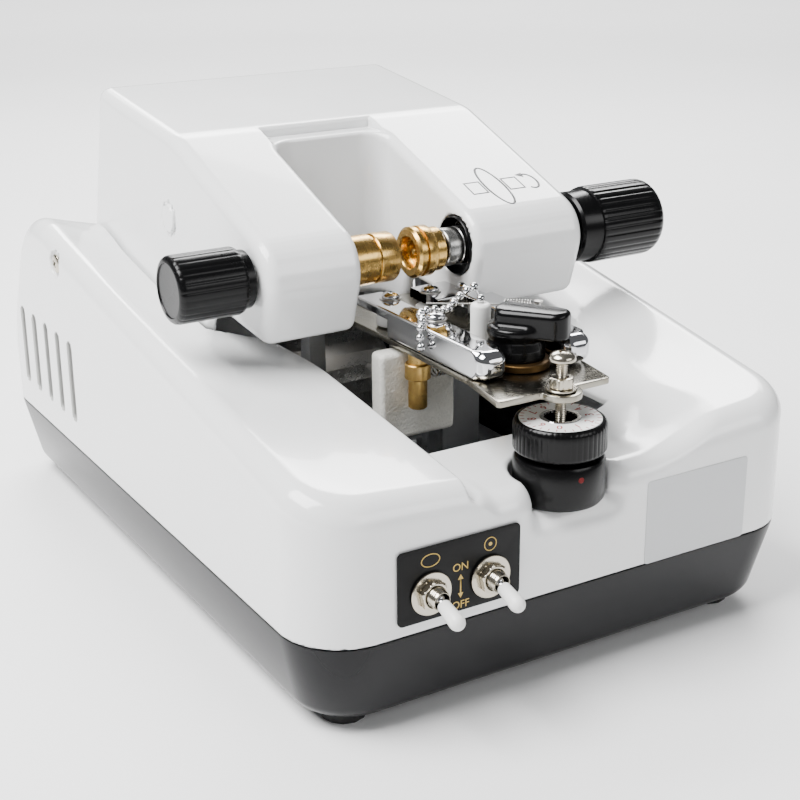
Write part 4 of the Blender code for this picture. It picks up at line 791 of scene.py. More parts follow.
def box_distance(x: Array, y: Array, half: Point, middle: Point = (0, 0),
                 radius: float = 0.0) -> Array:
    """Return the distance from a rectangle with rounded corners.

    Args:
        x: places along its width.
        y: places along its height.
        half: half its width and half its height.
        middle: its middle.
        radius: the radius of its corners.

    Returns:
        The distances, negative inside.
    """
    qx = np.abs(x - middle[0]) - (half[0] - radius)
    qy = np.abs(y - middle[1]) - (half[1] - radius)
    outside = np.hypot(np.maximum(qx, 0), np.maximum(qy, 0))
    return outside + np.minimum(np.maximum(qx, qy), 0) - radius


def ease(value: Array, start: float, end: float) -> Array:
    """Return a smooth step from 0 at start to 1 at end."""
    share = np.clip((value - start) / (end - start), 0, 1)
    return share * share * (3 - 2 * share)


def ticks(low: float, high: float, coarse: float, *zones: tuple[float, float, float]) -> Array:
    """Return grid places, closer together in some zones.

    Args:
        low: the first place.
        high: where the grid may end.
        coarse: the step outside the zones.
        zones: start, end and step of each zone.

    Returns:
        The places.
    """
    places = [low]
    while places[-1] < high:
        here = places[-1]
        step = coarse
        for start, end, fine in zones:
            if start <= here < end:
                step = min(step, fine)
            elif here < start:
                step = min(step, max(fine, start - here))
        places.append(here + step)
    return np.array(places)


def skin(name: str, field: Field, xs: Array, ys: Array, zs: Array) -> Thing:
    """Return the surface where a field is zero, as a mesh with the field's own normals.

    Args:
        name: the object's name.
        field: the signed distance at given places.
        xs: grid places across.
        ys: grid places along the depth.
        zs: grid heights.

    Returns:
        The object, in the machine's own place.
    """
    grid = (xs, ys, zs)
    values = field(xs[:, None, None], ys[None, :, None], zs[None, None, :])
    inside = values < 0
    sizes = [len(places) - 1 for places in grid]
    corners, crossings, flips = [], [], []
    for axis in range(3):
        head, tail = [slice(None)] * 3, [slice(None)] * 3
        head[axis], tail[axis] = slice(0, -1), slice(1, None)
        spots = np.argwhere(inside[tuple(head)] != inside[tuple(tail)])
        ahead = spots.copy()
        ahead[:, axis] += 1
        first, last = values[tuple(spots.T)], values[tuple(ahead.T)]
        point = np.stack([grid[k][spots[:, k]] for k in range(3)], axis=1)
        point[:, axis] += first / (first - last) * (grid[axis][ahead[:, axis]] - point[:, axis])
        ring = []
        for a, b in ((-1, -1), (0, -1), (0, 0), (-1, 0)):
            cell = spots.copy()
            cell[:, (axis + 1) % 3] += a
            cell[:, (axis + 2) % 3] += b
            ring.append((cell[:, 0] * sizes[1] + cell[:, 1]) * sizes[2] + cell[:, 2])
        corners.append(np.stack(ring, axis=1))
        crossings.append(point)
        flips.append(first >= 0)
    corner, crossing, flip = map(np.concatenate, (corners, crossings, flips))
    cells, index = np.unique(corner.ravel(), return_inverse=True)
    index = index.reshape(corner.shape)
    count = np.bincount(index.ravel(), minlength=len(cells))
    spread = np.repeat(crossing, 4, axis=0)
    verts = np.stack(
        [np.bincount(index.ravel(), spread[:, k], len(cells)) / count for k in range(3)], axis=1)
    for _ in range(3):
        value = np.clip(field(*verts.T), -0.0008, 0.0008)
        verts = verts - slopes(field, verts) * value[:, None] * 0.9
    faces = np.where(flip[:, None], index[:, ::-1], index)
    thing = from_parts(name, verts.tolist(), faces.tolist())
    thing.data.shade_smooth()
    thing.data.normals_split_custom_set_from_vertices(slopes(field, verts).tolist())
    return thing


def slopes(field: Field, points: Array, reach: float = 0.00015) -> Array:
    """Return the unit direction in which a field rises at each point.

    Args:
        field: the field.
        points: the points.
        reach: how far to each side the field is taken.

    Returns:
        The directions.
    """
    result = np.zeros(points.shape)
    for k in range(3):
        ahead, behind = points.copy(), points.copy()
        ahead[:, k] += reach
        behind[:, k] -= reach
        result[:, k] = field(*ahead.T) - field(*behind.T)
    return result / np.maximum(np.linalg.norm(result, axis=1, keepdims=True), 1e-12)


# Pieces and the frame


@cache
def material(finish: Finish) -> Material:
    """Return a finish's material, which is made once."""
    return finish.build()


def paint(thing: Thing, *finishes: Finish) -> Thing:
    """Give an object its finishes.

    Args:
        thing: the object.
        finishes: the finishes, in the order of its faces' material numbers.

    Returns:
        The object.
    """
    thing.data.materials.clear()
    for finish in finishes:
        thing.data.materials.append(material(finish))
    return thing


def fit(thing: Thing, body: str, slot: str, *nodes: str, finish: Finish | None = None) -> None:
    """Bring a piece from the machine's place into the frame, and hang it on a body.

    Args:
        thing: the piece, whose object stands at the origin.
        body: the body that it rides on.
        slot: the record's material slot; not used.
        nodes: the CAD nodes that it stands for.
        finish: its finish, unless it has its materials already.
    """
    if finish:
        paint(thing, finish)
    move(thing, at(*SHIFT))
    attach(thing, body)
    if nodes:
        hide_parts(*nodes)
    LOG.info("%s: %d faces on %s", thing.name, len(thing.data.polygons), body)


def repaint(finish: Finish, *nodes: str) -> None:
    """Give CAD nodes that stay in view a finish.

    Args:
        finish: the finish.
        nodes: the nodes.
    """
    for node in nodes:
        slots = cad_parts[node].data.materials
        for index in range(len(slots)):
            slots[index] = material(finish)


def placed(point: Point) -> tuple[float, float, float]:
    """Return a point of the machine as a point of the frame."""
    return tuple(Vector(point) + SHIFT)


WHITE = Moulded(
    "white_gloss", (0.83, 0.835, 0.835), 0.17, peel=190.0, peel_depth=0.00004, tint=0.02, coat=0.35)
CHARCOAL = Moulded("charcoal_gloss", (0.007, 0.007, 0.008), 0.2, gloss=0.22)
BLACK = Moulded("black_knob", (0.002, 0.002, 0.0022), 0.24, spread=0.1, peel=900.0,
                peel_depth=0.00002, gloss=0.2)
LABEL = Moulded("label_black", (0.002, 0.002, 0.0022), 0.36, gloss=0.15)
RUBBER = Gritty("foot_rubber", (0.02, 0.02, 0.02), 0.8)
NYLON = Moulded("white_nylon", (0.82, 0.82, 0.8), 0.38, peel=1200.0, peel_depth=0.00002)
NICKEL = Plated("worn_nickel", (0.5, 0.46, 0.38), 0.2)
# Darker grey for the faces inside the vent slots: painted shade in the slots, on the same white
# plastic.
SLOT_PAINTED_SHADE = Moulded("white_in_slots", (0.4, 0.4, 0.385), 0.6)
STEEL = Ground("ground_steel", (0.46, 0.45, 0.43), 0.3)
ZINC = Ground("zinc_plate", (0.5, 0.51, 0.52), 0.42, stain=0.15)
TABLE = Ground("table_steel", (0.3, 0.285, 0.24), 0.2, grain=(0.15, 1.0, 1.0), stain=0.5,
               stain_colour=(0.15, 0.115, 0.06), depth=0.000004)
CHROME = Plated("polished_chrome", (0.62, 0.62, 0.63), 0.05)
GOLD_PRINT = Moulded("gold_print", (0.47, 0.33, 0.09), 0.4, metallic=0.7)
RED_PRINT = Moulded("red_print", (0.3, 0.004, 0.006), 0.5, gloss=0.3)
DOT_RED = Moulded("pointer_red", (0.12, 0.002, 0.003), 0.5, gloss=0.2)
GREY_PRINT = Moulded("dark_print", (0.02, 0.02, 0.022), 0.45)
BLANK_PLATE = Moulded("blank_plate", (0.56, 0.57, 0.58), 0.3)
FOAM = Foam("white_sponge", (0.84, 0.83, 0.77), 0.92)


@dataclass
class Casing:
    """White upper casing: a dished deck over thin walls, cut for the mechanism and the head."""

    width: float = 0.18
    depth: float = 0.2665
    corner: float = 0.02
    edge: float = 0.008
    seam: float = 0.0316
    wall: float = 0.003
    rise: float = 0.18
    middle: float = 0.0985
    top: float = 0.112
    shoulder: float = 0.082
    shoulder_depth: float = 0.03
    shoulder_drop: float = 0.02
    back_foot: float = 0.0312
    fall_places: tuple = (-0.1333, -0.043, 0.02, 0.07, 0.112)
    fall_shares: tuple = (0.06, 0.19, 0.46, 0.46, 0.0)
    floor: float = 0.0665
    channel_left: float = -0.038
    channel_right: float = 0.0395
    channel_back: float = -0.0045
    flare_front: float = 0.04
    flare_back: float = 0.047
    flare_lift: float = 0.04
    bay_x: tuple = (-0.031, 0.04)
    bay_front: float = -0.094
    slot_half: float = 0.0615
    slot_y: tuple = (-0.008, 0.1)
    slot_floor: float = 0.081
    well: tuple = (-0.001, -0.123)
    well_radius: float = 0.015
    well_floor: float = 0.057
    stem_radius: float = 0.0062
    screw: tuple = (0.0605, 0.0996)
    screw_radius: float = 0.0047
    screw_depth: float = 0.0016
    bolt_radius: float = 0.0018
    vent_first: float = 0.052
    vent_pitch: float = 0.01325
    vent_half: float = 0.0023
    vent_z: tuple = (0.042, 0.0725)
    vents: int = 5
    switch_x: tuple = (-0.0529, -0.0329)
    switch_z: float = 0.0436
    switch_radius: float = 0.0033
    inlet: tuple = (-0.066, 0.06)
    inlet_half: tuple = (0.0143, 0.0103)
    fuse_x: float = -0.015
    fuse_radius: float = 0.0052
    crisp: float = 0.0005
    plate_x: tuple = (0.0249, 0.065)
    plate_z: tuple = (0.0316, 0.0591)

    def __post_init__(self) -> None:
        """Work out smooth tables of the rim's height and the deck's fall."""
        self.table = np.arange(-0.15, 0.15, 0.00025)
        self.rim = self.soften(np.array([self.straight_rim(y) for y in self.table]), 0.0016)
        self.fall = self.soften(np.interp(self.table, self.fall_places, self.fall_shares), 0.006)

    def soften(self, values: Array, reach: float) -> Array:
        """Round the corners of a table.

        Args:
            values: the table.
            reach: how wide its corners become.

        Returns:
            The smooth table.
        """
        span = np.arange(-reach * 3, reach * 3 + 1e-9, 0.00025)
        weight = np.exp(-(span / reach) ** 2 / 2)
        padded = np.pad(values, len(span) // 2, mode="edge")
        return np.convolve(padded, weight / weight.sum(), mode="valid")[:len(values)]

    def straight_rim(self, y: float) -> float:
        """Return the rim's height before its corners are eased.

        Args:
            y: a place along the depth.

        Returns:
            The height there.
        """
        flat = min(self.middle + self.rise * y, self.top)
        if y <= self.shoulder:
            return flat
        end = self.shoulder + self.shoulder_depth * sin(pi / 3)
        if y <= end:
            share = (y - self.shoulder) / self.shoulder_depth
            return flat - self.shoulder_drop * (1 - sqrt(1 - share * share)) * 2
        high = self.straight_rim(end)
        share = (y - end) / (self.depth / 2 - end)
        return high + (self.back_foot - high) * (share * 0.75 + share * share * 0.25)

    def deck(self, x: Array, y: Array) -> tuple[Array, Array]:
        """Return the deck's form.

        Args:
            x: places across.
            y: places along the depth.

        Returns:
            Its height and the length of its slope's normal.
        """
        reach = 0.0005
        rim, ahead, behind = [
            np.interp(y + step, self.table, self.rim) for step in (0, reach, -reach)]
        share = np.interp(y, self.table, self.fall)
        inward = self.width / 2 - self.edge / 2 - np.sqrt(x * x + 0.004 ** 2)
        span = (inward + np.sqrt(inward * inward + 0.003 ** 2)) / 2
        return rim - share * span, np.sqrt(1 + ((ahead - behind) / (2 * reach)) ** 2 + share ** 2)

    def channel(self, x: Array, y: Array, z: Array) -> Array:
        """Return the distance from the channel's space.

        Args:
            x, y, z: places.

        Returns:
            The distances.
        """
        share = np.clip((y + self.depth / 2) / (self.depth / 2 + self.channel_back), 0, 1)
        flare = self.flare_front + (self.flare_back - self.flare_front) * share
        lean = flare / self.flare_lift
        right = (x - self.channel_right - lean * (z - self.floor)) / np.sqrt(1 + lean ** 2)
        void = round_common(right, self.floor - z, 0.009)
        void = round_common(void, self.channel_left - x, 0.0025)
        return round_common(void, y - self.channel_back, 0.006)

    def outer(self, x: Array, y: Array, z: Array) -> Array:
        """Return the distance from the form before it is hollowed.

        Args:
            x, y, z: places.

        Returns:
            The distances.
        """
        plan = box_distance(x, y, (self.width / 2, self.depth / 2), radius=self.corner)
        height, normal = self.deck(x, y)
        body = round_common(plan, (z - height) / normal, self.edge)
        edge = 0.0026 + 0.0054 * (1 - ease(y, -0.121, -0.1))
        crisp = 1 - ease(x, self.channel_left + 0.0015, self.channel_left + 0.01)
        body = round_cut(body, self.channel(x, y, z), edge - (edge - 0.0012) * crisp)
        away = np.hypot(x - self.well[0], y - self.well[1]) - self.well_radius
        well = round_common(away, self.well_floor - z, 0.001)
        return round_cut(body, well, 0.0016 + 0.0075 * (1 - ease(y, -0.1325, -0.1245)))

    def voids(self, x: Array, y: Array, z: Array) -> Iterable[Array]:
        """Yield each opening through the walls.

        Args:
            x, y, z: places.

        Yields:
            The distances from an opening.
        """
        yield box_distance(x, y, ((self.bay_x[1] - self.bay_x[0]) / 2, 0.045),
                           (sum(self.bay_x) / 2, self.bay_front + 0.045), 0.0015)
        half = (self.slot_y[1] - self.slot_y[0]) / 2
        yield box_distance(x, y, (self.slot_half, half), (0, self.slot_y[0] + half), 0.001)
        notch = np.maximum(np.abs(x) - self.slot_half, self.slot_floor - z)
        yield np.maximum(notch, self.slot_y[1] - 0.0003 - y)
        away = np.hypot(x - self.well[0], y - self.well[1])
        floor = np.abs(z - self.well_floor + self.wall / 2) - self.wall
        stem = np.maximum(away - self.stem_radius, floor)
        yield np.maximum(stem, self.wall * 1.4 - y - self.depth / 2)
        flank = self.width / 2 - self.wall * 2 - np.abs(x)
        rise = z - np.clip(z, self.vent_z[0] + self.vent_half, self.vent_z[1] - self.vent_half)
        first = self.vent_first
        nearest = np.clip(np.round((y - first) / self.vent_pitch), 0, self.vents - 1)
        side = y - first - nearest * self.vent_pitch
        yield np.maximum(np.hypot(side, rise) - self.vent_half, flank)
        around = np.hypot(y - self.screw[0], z - self.screw[1])
        yield np.maximum(around - self.bolt_radius, flank)
        seat = self.width / 2 - self.screw_depth - np.abs(x)
        yield np.maximum(around - self.screw_radius, seat)
        for place in self.switch_x:
            bore = np.hypot(x - place, z - self.switch_z) - self.switch_radius
            yield np.maximum(bore, y + self.depth / 2 - self.wall * 2)
        behind = 0.11 - y
        yield np.maximum(box_distance(x, z, self.inlet_half, self.inlet, 0.0005), behind)
        fuse = np.hypot(x - self.fuse_x, z - self.inlet[1]) - self.fuse_radius
        yield np.maximum(fuse, behind)

    def shell(self, x: Array, y: Array, z: Array) -> Array:
        """Return the distance from the finished casing.

        Args:
            x, y, z: places.

        Returns:
            The distances.
        """
        outer = self.outer(x, y, z)
        corner = ease(x, 0.022, 0.036) * (1 - ease(y, -0.104, -0.09))
        corner = corner + ease(np.abs(x), 0.06, 0.07) * ease(y, 0.108, 0.116)
        result = np.maximum(outer, -(outer + self.wall * (1 + corner)))
        for void in self.voids(x, y, z):
            result = round_cut(result, void, self.crisp)
        return round_common(result, self.seam - z, self.crisp)

    def build(self) -> None:
        """Mesh the casing, paint shade on its vents' inner walls, and add its screws and plate."""
        x, y = self.width / 2, self.depth / 2
        xs = ticks(-x - 0.0016, x + 0.0016, 0.0026, (-x - 0.002, -x + 0.01, 0.001),
                   (-0.063, -0.06, 0.0006), (-0.041, -0.029, 0.0007), (-0.029, 0.025, 0.0016),
                   (0.037, 0.06, 0.0014), (0.06, 0.063, 0.0006), (0.063, 0.079, 0.0013),
                   (x - 0.01, x + 0.002, 0.001))
        ys = ticks(-y - 0.0016, y + 0.0016, 0.0026, (-y - 0.002, -0.108, 0.001),
                   (-0.108, -0.096, 0.0014), (-0.096, -0.092, 0.0006), (-0.012, -0.002, 0.001),
                   (0.049, 0.108, 0.001), (0.108, y + 0.002, 0.0018))
        zs = ticks(self.seam - 0.0012, self.top + 0.0016, 0.002, (self.seam - 0.002, 0.034, 0.0006),
                   (0.04, 0.0445, 0.0008), (0.0555, 0.068, 0.001), (0.0705, 0.0735, 0.0008),
                   (0.0735, 0.094, 0.0012), (0.094, 0.111, 0.001))
        thing = paint(skin("casing_shell", self.shell, xs, ys, zs), WHITE, SLOT_PAINTED_SHADE)
        # Faces inside the vent slots get the darker grey: painted shade in the slots.
        low, high = self.vent_z
        for face in thing.data.polygons:
            place = face.center
            if (abs(abs(place.x) - x + self.wall / 2) < self.wall / 2 - 0.0003
                and abs(place.y - self.vent_first - 2 * self.vent_pitch) < 2.3 * self.vent_pitch
                and low - 0.001 < place.z < high + 0.001):
                face.material_index = 1
        fit(thing, "base", "white", "upper_casing")
        seat = x - self.screw_depth + 0.0003
        for name, side, angle in (("left", -1, 0.5), ("right", 1, 1.2)):
            head = screw_head(name + "_flank_screw", 0.0034, 0.0012, angle)
            move(head, at(side * seat, *self.screw) @ Matrix.Rotation(side * pi / 2, 4, "Y"))
            fit(head, "base", "steel", name + "_cover_screw", finish=NICKEL)
        (left, right), (foot, head) = self.plate_x, self.plate_z
        outline = box_outline((right - left) / 2, (head - foot) / 2, 0.0012, 6,
                              ((left + right) / 2, (foot + head) / 2))
        thing = slab("front_plate", outline, -y - 0.00022, -y - 0.00002, Axis.Y, 0.00005)
        fit(thing, "base", "plate", finish=BLANK_PLATE)


def screw_head(name: str, radius: float, height: float, angle: float, dome: float = 0.5) -> Thing:
    """Return a pan head with a cross recess, standing on zero and facing +Z.

    Args:
        name: the object's name.
        radius: the head's radius.
        height: its height.
        angle: the turn of its cross.
        dome: how much of the height is domed.

    Returns:
        The head.
    """
    rim = height * (1 - dome)
    profile = [(0, 0), (radius * 0.94, 0), (radius, radius * 0.06), (radius, rim)]
    profile += [(radius * cos(a), rim + (height - rim) * sin(a))
                for a in np.linspace(0.25, 1.35, 6)]
    head = lathe(name, [*profile, (0, height)], 40)
    for turn in (angle, angle + pi / 2):
        arm = block("cross", (-radius * 0.62, -radius * 0.13, height - height * 0.72),
                    (radius * 0.62, radius * 0.13, height * 1.6), 0)
        for vertex in arm.data.vertices:
            vertex.co.x *= 0.35 if vertex.co.z < height else 1.0
        head = cut(head, move(arm, Matrix.Rotation(turn, 4, "Z")))
    return smooth(head, 0.6)


@dataclass
class Tray:
    """Charcoal lower tray with tapered walls, on four feet."""

    half_x: float = 0.09
    half_y: float = 0.13325
    corner: float = 0.02
    low: float = 0.004
    top: float = 0.0312
    taper: float = 0.006
    edge: float = 0.005
    wall: float = 0.003

    def level(self, inset: float, height: float) -> list:
        """Return the tray's outline at a height.

        Args:
            inset: how far it is drawn in.
            height: the height.

        Returns:
            The outline's points.
        """
        draw = inset + self.taper * (self.top - height) / (self.top - self.low)
        outline = box_outline(self.half_x - draw, self.half_y - draw, self.corner - draw / 2, 14)
        return [(x, y, height) for x, y in outline]

    def build(self) -> None:
        """Loft the tray's outside and inside."""
        levels = [(self.edge * (1 - sin(a)), self.low + self.edge * (1 - cos(a)))
                  for a in np.linspace(0, 1, 9) * pi / 2]
        levels += [(0, self.top - 0.0006), (0.0002, self.top - 0.0001), (0.0006, self.top),
                   (self.wall, self.top), (self.wall, self.low + self.wall)]
        thing = loft("tray_shell", [self.level(*level) for level in levels])
        fit(thing, "base", "charcoal", "lower_tray", finish=CHARCOAL)
        repaint(RUBBER, "front_left_foot", "rear_left_foot", "front_right_foot", "rear_right_foot")


@dataclass
class Head:
    """White head: a rounded hood with two arms round the lens's space."""

    half: float = 0.0603
    back_low: tuple = (0.1055, 0.085)
    back_top: tuple = (0.0847, 0.1572)
    brow: tuple = (0.017, 0.1487)
    nose: tuple = (-0.057, 0.1215)
    chin: tuple = (-0.048, 0.0925)
    step_top: tuple = (-0.01, 0.096)
    step_low: tuple = (-0.006, 0.085)
    nose_radius: float = 0.014
    brow_radius: float = 0.03
    edge: float = 0.0045
    wall: float = 0.003
    recess: tuple = (-0.027, 0.0158)
    recess_back: float = 0.011
    recess_corner: float = 0.009
    rebate: float = 0.0065
    rebate_drop: float = 0.004
    axis: tuple = (-0.04, 0.1135)
    left_hole: float = 0.0055
    bush_hole: float = 0.0102
    bush_end: float = 0.0272
    sleeve_hole: float = 0.0095
    plug: tuple = (0.0227, 0.12)
    plug_radius: float = 0.005
    plug_height: float = 0.0008
    under: float = 0.0996
    line: float = 0.00042

    def __post_init__(self) -> None:
        """Work out the side outline, as places along the depth and heights."""
        self.side = rounded(
            [(self.chin, self.edge), (self.step_top, self.edge), (self.step_low, self.edge),
             (self.back_low, 0.0006), (self.back_top, self.edge), (self.brow, self.brow_radius),
             (self.nose, self.nose_radius)], 10)

    def outer(self, x: Array, y: Array, z: Array) -> Array:
        """Return the distance from the form before it is hollowed.

        Args:
            x, y, z: places.

        Returns:
            The distances.
        """
        side = outline_distance(self.side, y, z)
        body = round_common(side, np.abs(x) - self.half, self.edge)
        left, right = self.recess
        half = (right - left) / 2
        space = box_distance(
            x, y, (half, 0.048), (left + half, self.recess_back - 0.048), self.recess_corner)
        body = round_cut(body, space, 0.003)
        ledge = np.maximum(
            np.abs(x - left - half) - half - 0.0001, y - self.recess_back - self.rebate)
        body = round_cut(body, np.maximum(ledge, self.brow[1] - self.rebate_drop - z), 0.0009)
        around = np.hypot(y - self.plug[0], z - self.plug[1]) - self.plug_radius
        boss = round_common(around, -x - self.half - self.plug_height, 0.0005)
        boss = np.maximum(boss, x + self.half - 0.003)
        groove = np.maximum(np.abs(around - 0.0003) - 0.0003, x + self.half - 0.0006)
        return np.maximum(np.minimum(body, boss), -groove)

    def voids(self, x: Array, y: Array, z: Array) -> Iterable[Array]:
        """Yield each opening through the walls.

        Args:
            x, y, z: places.

        Yields:
            The distances from an opening.
        """
        around = np.hypot(y - self.axis[0], z - self.axis[1])
        left, right = self.recess
        yield np.maximum(around - self.left_hole, x - left - 0.001)
        bush = np.maximum(around - self.bush_hole, right - 0.001 - x)
        yield np.maximum(bush, x - self.bush_end)
        yield np.maximum(around - self.sleeve_hole, self.half - self.wall * 2 - x)
        guard = box_distance(x, y, ((right - left) / 2 + self.wall, 0.048),
                             (sum(self.recess) / 2, self.recess_back + self.wall - 0.048))
        inner = self.half - self.wall
        rear = box_distance(x, y, (inner, 0.0505), (0, 0.0475))
        front = box_distance(x, y, (inner, 0.025), (0, -0.02))
        both = np.minimum(np.maximum(rear, z - self.under), np.maximum(front, z - self.under))
        yield np.maximum(both, -guard)

    def shell(self, x: Array, y: Array, z: Array) -> Array:
        """Return the distance from the finished hood.

        Args:
            x, y, z: places.

        Returns:
            The distances.
        """
        outer = self.outer(x, y, z)
        result = np.maximum(outer, -(outer + self.wall))
        for void in self.voids(x, y, z):
            result = round_cut(result, void, 0.0005)
        return result

    def build(self) -> None:
        """Mesh the hood and hang it on the head."""
        x, (left, right) = self.half, self.recess
        xs = ticks(-x - 0.0022, x + 0.0016, 0.003, (-x - 0.0024, -x + 0.006, 0.0009),
                   (left - 0.005, left + 0.012, 0.001), (right - 0.012, right + 0.005, 0.001),
                   (x - 0.006, x + 0.002, 0.0009))
        ys = ticks(-0.06, 0.108, 0.0017, (-0.054, -0.03, 0.0012), (0.0, 0.03, 0.0009),
                   (0.08, 0.108, 0.0012))
        zs = ticks(0.083, 0.159, 0.0014, (0.143, 0.146, 0.0008), (0.15, 0.159, 0.001))
        thing = skin("hood_shell", self.shell, xs, ys, zs)
        fit(thing, "head", "white", "head_shell", finish=WHITE)
        repaint(ZINC, "head_frame", "lens_motor")
        repaint(RUBBER, "lens_belt")
        self.pictogram()

    def pictogram(self) -> None:
        """Line drawing on the right arm's slope: a lens between two chucks and an arrow."""
        top, low = Vector((0, *self.brow)), Vector((0, *self.nose))
        along = (top - low).normalized()
        normal = along.cross(Vector((1, 0, 0))).normalized()
        if normal.z < 0:
            normal.negate()
        middle = low.lerp(top, 0.3) + Vector((0.0362, 0, 0))
        slope = at(*(middle + normal * 0.00003)) @ Matrix(
            ((1, 0, 0, 0), (0, along.y, normal.y, 0), (0, along.z, normal.z, 0), (0, 0, 0, 1)))
        lines = [wire("mark", oval(0.0036, 0.0118, 40, (0, 0.0015, 0)), self.line, 2, closed=True)]
        for side in (-1, 1):
            near, far = side * 0.0046, side * 0.0105
            chuck = [(near, -0.002, 0), (near, 0.005, 0), (far, 0.005, 0), (far, -0.002, 0)]
            lines.append(wire("mark", chuck, self.line, 2, closed=True))
        turn = [(0.0145 + 0.0028 * cos(a), 0.0015 + 0.0045 * sin(a), 0)
                for a in np.linspace(-2.2, 2.0, 24)]
        lines.append(wire("mark", turn, self.line, 2))
        x, y, _ = Vector(turn[-1])
        tip = [(x - 0.0022, y + 0.0006), (x + 0.0006, y - 0.0016), (x + 0.001, y + 0.0014)]
        lines.append(slab("mark", tip, -0.00005, 0.00005))
        mark = move(merged("arm_pictogram", lines), slope @ Matrix.Diagonal((1, 1, 0.25, 1)))
        fit(mark, "head", "label", finish=GREY_PRINT)


AXIS_POINT = (0.0, -0.04, 0.1135)
CHUCK_BRASS = Turned(
    "turned_brass", (0.58, 0.37, 0.11), 0.22, placed(AXIS_POINT), Axis.X, stain=0.5,
    stain_colour=(0.3, 0.15, 0.04))
SPINDLE_STEEL = Turned(
    "turned_steel", (0.36, 0.36, 0.35), 0.26, placed(AXIS_POINT), Axis.X,
    stain_colour=(0.35, 0.3, 0.24))
PLAIN_BRASS = Turned(
    "plain_brass", (0.56, 0.37, 0.12), 0.3, placed((0, 0, 0)), Axis.Z, stain=0.45,
    stain_colour=(0.35, 0.18, 0.05))
CAM_BRASS = Turned(
    "dark_brass", (0.11, 0.065, 0.025), 0.45, placed((0, 0, 0)), Axis.Z, stain=0.5,
    stain_colour=(0.06, 0.03, 0.012))


